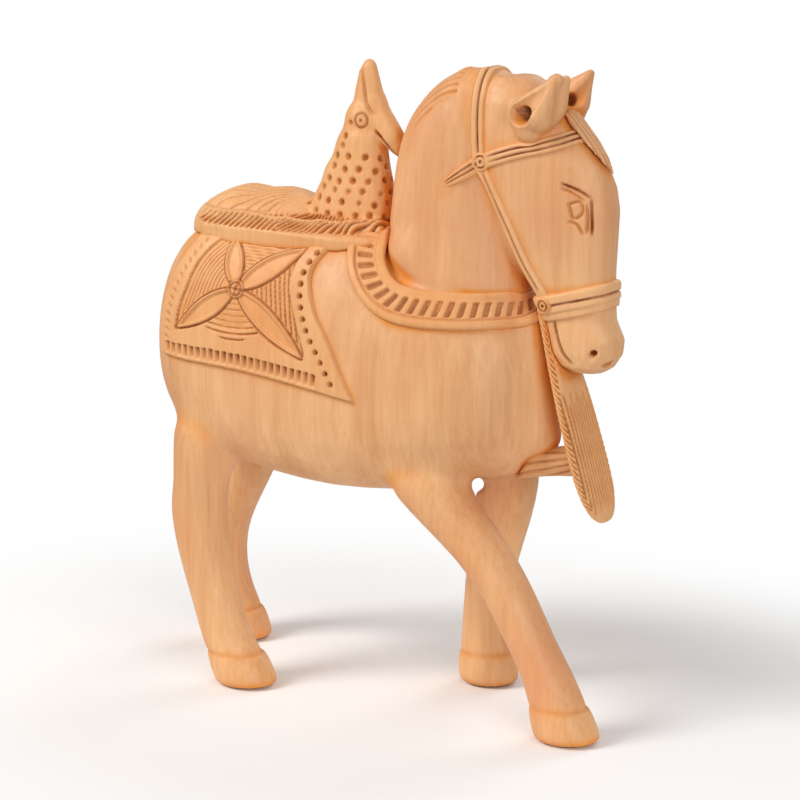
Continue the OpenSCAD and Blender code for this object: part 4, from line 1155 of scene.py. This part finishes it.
# leaf veins spread over the strut
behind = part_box("plume_strut")[1][0] * 1000 - p[:, 0]
fan = (p[:, 2] - 86 + 0.25 * behind) / (1.1 + 0.05 * behind)
leaf = lanes(fan / plume["leafSpacing"], 0.26) * ~onPlume * smoothStep(np.abs(n[:, 1]), 0.3, 0.6)
cutAway(plumeWork, plume["leafDepth"] * leaf, 0.6 * leaf)
finishSkin(plumeWork, plumeFields, plumeGrid, plumeNames, carvedWood)


# Hair: forelock and tail.
hair = dict(
    forelock=dict(step=0.3, strands=6, depth=0.45, thinned=0.2),
    tail=dict(step=0.4, strands=9, depth=0.55, thinned=0),
)


def carveHair(node, coordinate):
    look = hair[node]
    grid = gridAround([node], look["step"], band=3.0)
    work = newWork(softened(cadField(node, grid), 0.35 / look["step"]) + look["thinned"], grid)
    strand = lanes(coordinate(work["points"]) * look["strands"], 0.3)
    cutAway(work, look["depth"] * strand, 0.55 * strand ** 1.4)
    carveWork(work)
    # painted shade and wax where nearby solids hide the surface
    shade = hollowness(work["points"], work["normals"]) * 0.7
    makePiece("carved_" + node, work["points"], work["quads"], flankWood, work["normals"][work["quads"].ravel()],
              dict(cut=work["cut"], shade=shade), (node,))


carveHair("forelock", lambda p: p[:, 1] / 11 + 0.5)
carveHair("tail", lambda p: p[:, 1] / 9 + 0.5 + 0.03 * np.sin(p[:, 2] / 6))
print("hair carved")


# Table, light and camera.
stage = dict(
    floorSize=6.0, floorColour=(244, 244, 244), floorRough=0.6,
    whiteFrom=0.09, whiteTo=0.21, whiteStretch=1.25,   # where the table turns into a plain bright sheet
    worldLight=0.42, backdrop=1.0,
)
lights = dict(  # place, target, size, power, colour
    keyLight=((-0.75, -0.75, 0.95), (0, 0, 0.1), 0.6, 12.5, (1, 0.98, 0.95)),
    fillLight=((0.95, -0.75, 0.45), (0.02, 0, 0.1), 0.8, 6.0, (1, 0.97, 0.94)),
    rimLight=((0.1, 0.9, 0.8), (0, 0, 0.12), 0.7, 3, (1, 1, 1)),
)
camera = dict(azimuth=30, elevation=12.3, distance=0.9, target=(0.0194, 0, 0.1), lens=126.56, shift=(-0.05, -0.005))


def backdropGlow(tree):  # the backdrop is seen brighter than it lights the figure
    seen = addNode(tree, "LightPath").outputs["Is Camera Ray"]
    return mathNode(tree, "ADD", mathNode(tree, "MULTIPLY", seen, stage["backdrop"] - stage["worldLight"]),
                    stage["worldLight"])


def makeFloor():
    mesh = bpy.data.meshes.new("floor")
    half = stage["floorSize"] / 2
    mesh.from_pydata([(-half, -half, 0), (half, -half, 0), (half, half, 0), (-half, half, 0)], [], [(0, 1, 2, 3)])
    floor = bpy.data.objects.new("floor", mesh)
    bpy.context.scene.collection.objects.link(floor)
    material = bpy.data.materials.new("paleFloor")
    material.use_nodes = True
    tree = material.node_tree
    shader = tree.nodes["Principled BSDF"]
    place, stretch = addNode(tree, "TexCoord"), addNode(tree, "Mapping", Scale=(1 / stage["whiteStretch"], 1, 1))
    tree.links.new(place.outputs["Object"], stretch.inputs["Vector"])
    reach = addNode(tree, "VectorMath", dict(operation="LENGTH"))
    tree.links.new(stretch.outputs[0], reach.inputs[0])
    bright = addNode(tree, "MapRange", dict(interpolation_type="SMOOTHSTEP"),
                     **{"From Min": stage["whiteFrom"], "From Max": stage["whiteTo"]})
    tree.links.new(reach.outputs["Value"], bright.inputs[0])
    colour = colourMix(tree, bright.outputs[0], rgb(*stage["floorColour"]), (0, 0, 0, 1))
    tree.links.new(colour, shader.inputs["Base Color"])
    tree.links.new(mathNode(tree, "MULTIPLY", bright.outputs[0], backdropGlow(tree)), shader.inputs["Emission Color"])
    for socket, value in (("Roughness", stage["floorRough"]), ("Emission Strength", 1.0), ("Specular IOR Level", 0.0)):
        shader.inputs[socket].default_value = value
    mesh.materials.append(material)


def addLight(name, place, target, size, power, colour):
    lamp = bpy.data.lights.new(name, "AREA")
    lamp.shape = "DISK"
    lamp.size, lamp.energy, lamp.color = size, power, colour
    light = bpy.data.objects.new(name, lamp)
    light.location = place
    light.rotation_euler = (Vector(target) - Vector(place)).to_track_quat("-Z", "Y").to_euler()
    bpy.context.scene.collection.objects.link(light)


def addCamera():
    turn, lift = math.radians(camera["azimuth"]), math.radians(camera["elevation"])
    away = Vector((math.sin(turn) * math.cos(lift), -math.cos(turn) * math.cos(lift), math.sin(lift)))
    data = bpy.data.cameras.new("camera")
    data.lens, data.sensor_width = camera["lens"], 36
    data.shift_x, data.shift_y = camera["shift"]
    data.clip_start, data.clip_end = 0.05, 20
    holder = bpy.data.objects.new("camera", data)
    holder.location = Vector(camera["target"]) + away * camera["distance"]
    holder.rotation_euler = (-away).to_track_quat("-Z", "Y").to_euler()
    bpy.context.scene.collection.objects.link(holder)
    bpy.context.scene.camera = holder


makeFloor()
for name, light in lights.items():
    addLight(name, *light)
world = bpy.data.worlds.new("paleRoom")
bpy.context.scene.world = world
world.use_nodes = True
background = world.node_tree.nodes["Background"]
background.inputs["Color"].default_value = (1, 1, 1, 1)
world.node_tree.links.new(backdropGlow(world.node_tree), background.inputs["Strength"])
addCamera()
bpy.context.scene.view_settings.view_transform = "Standard"
print("table, light and camera set")
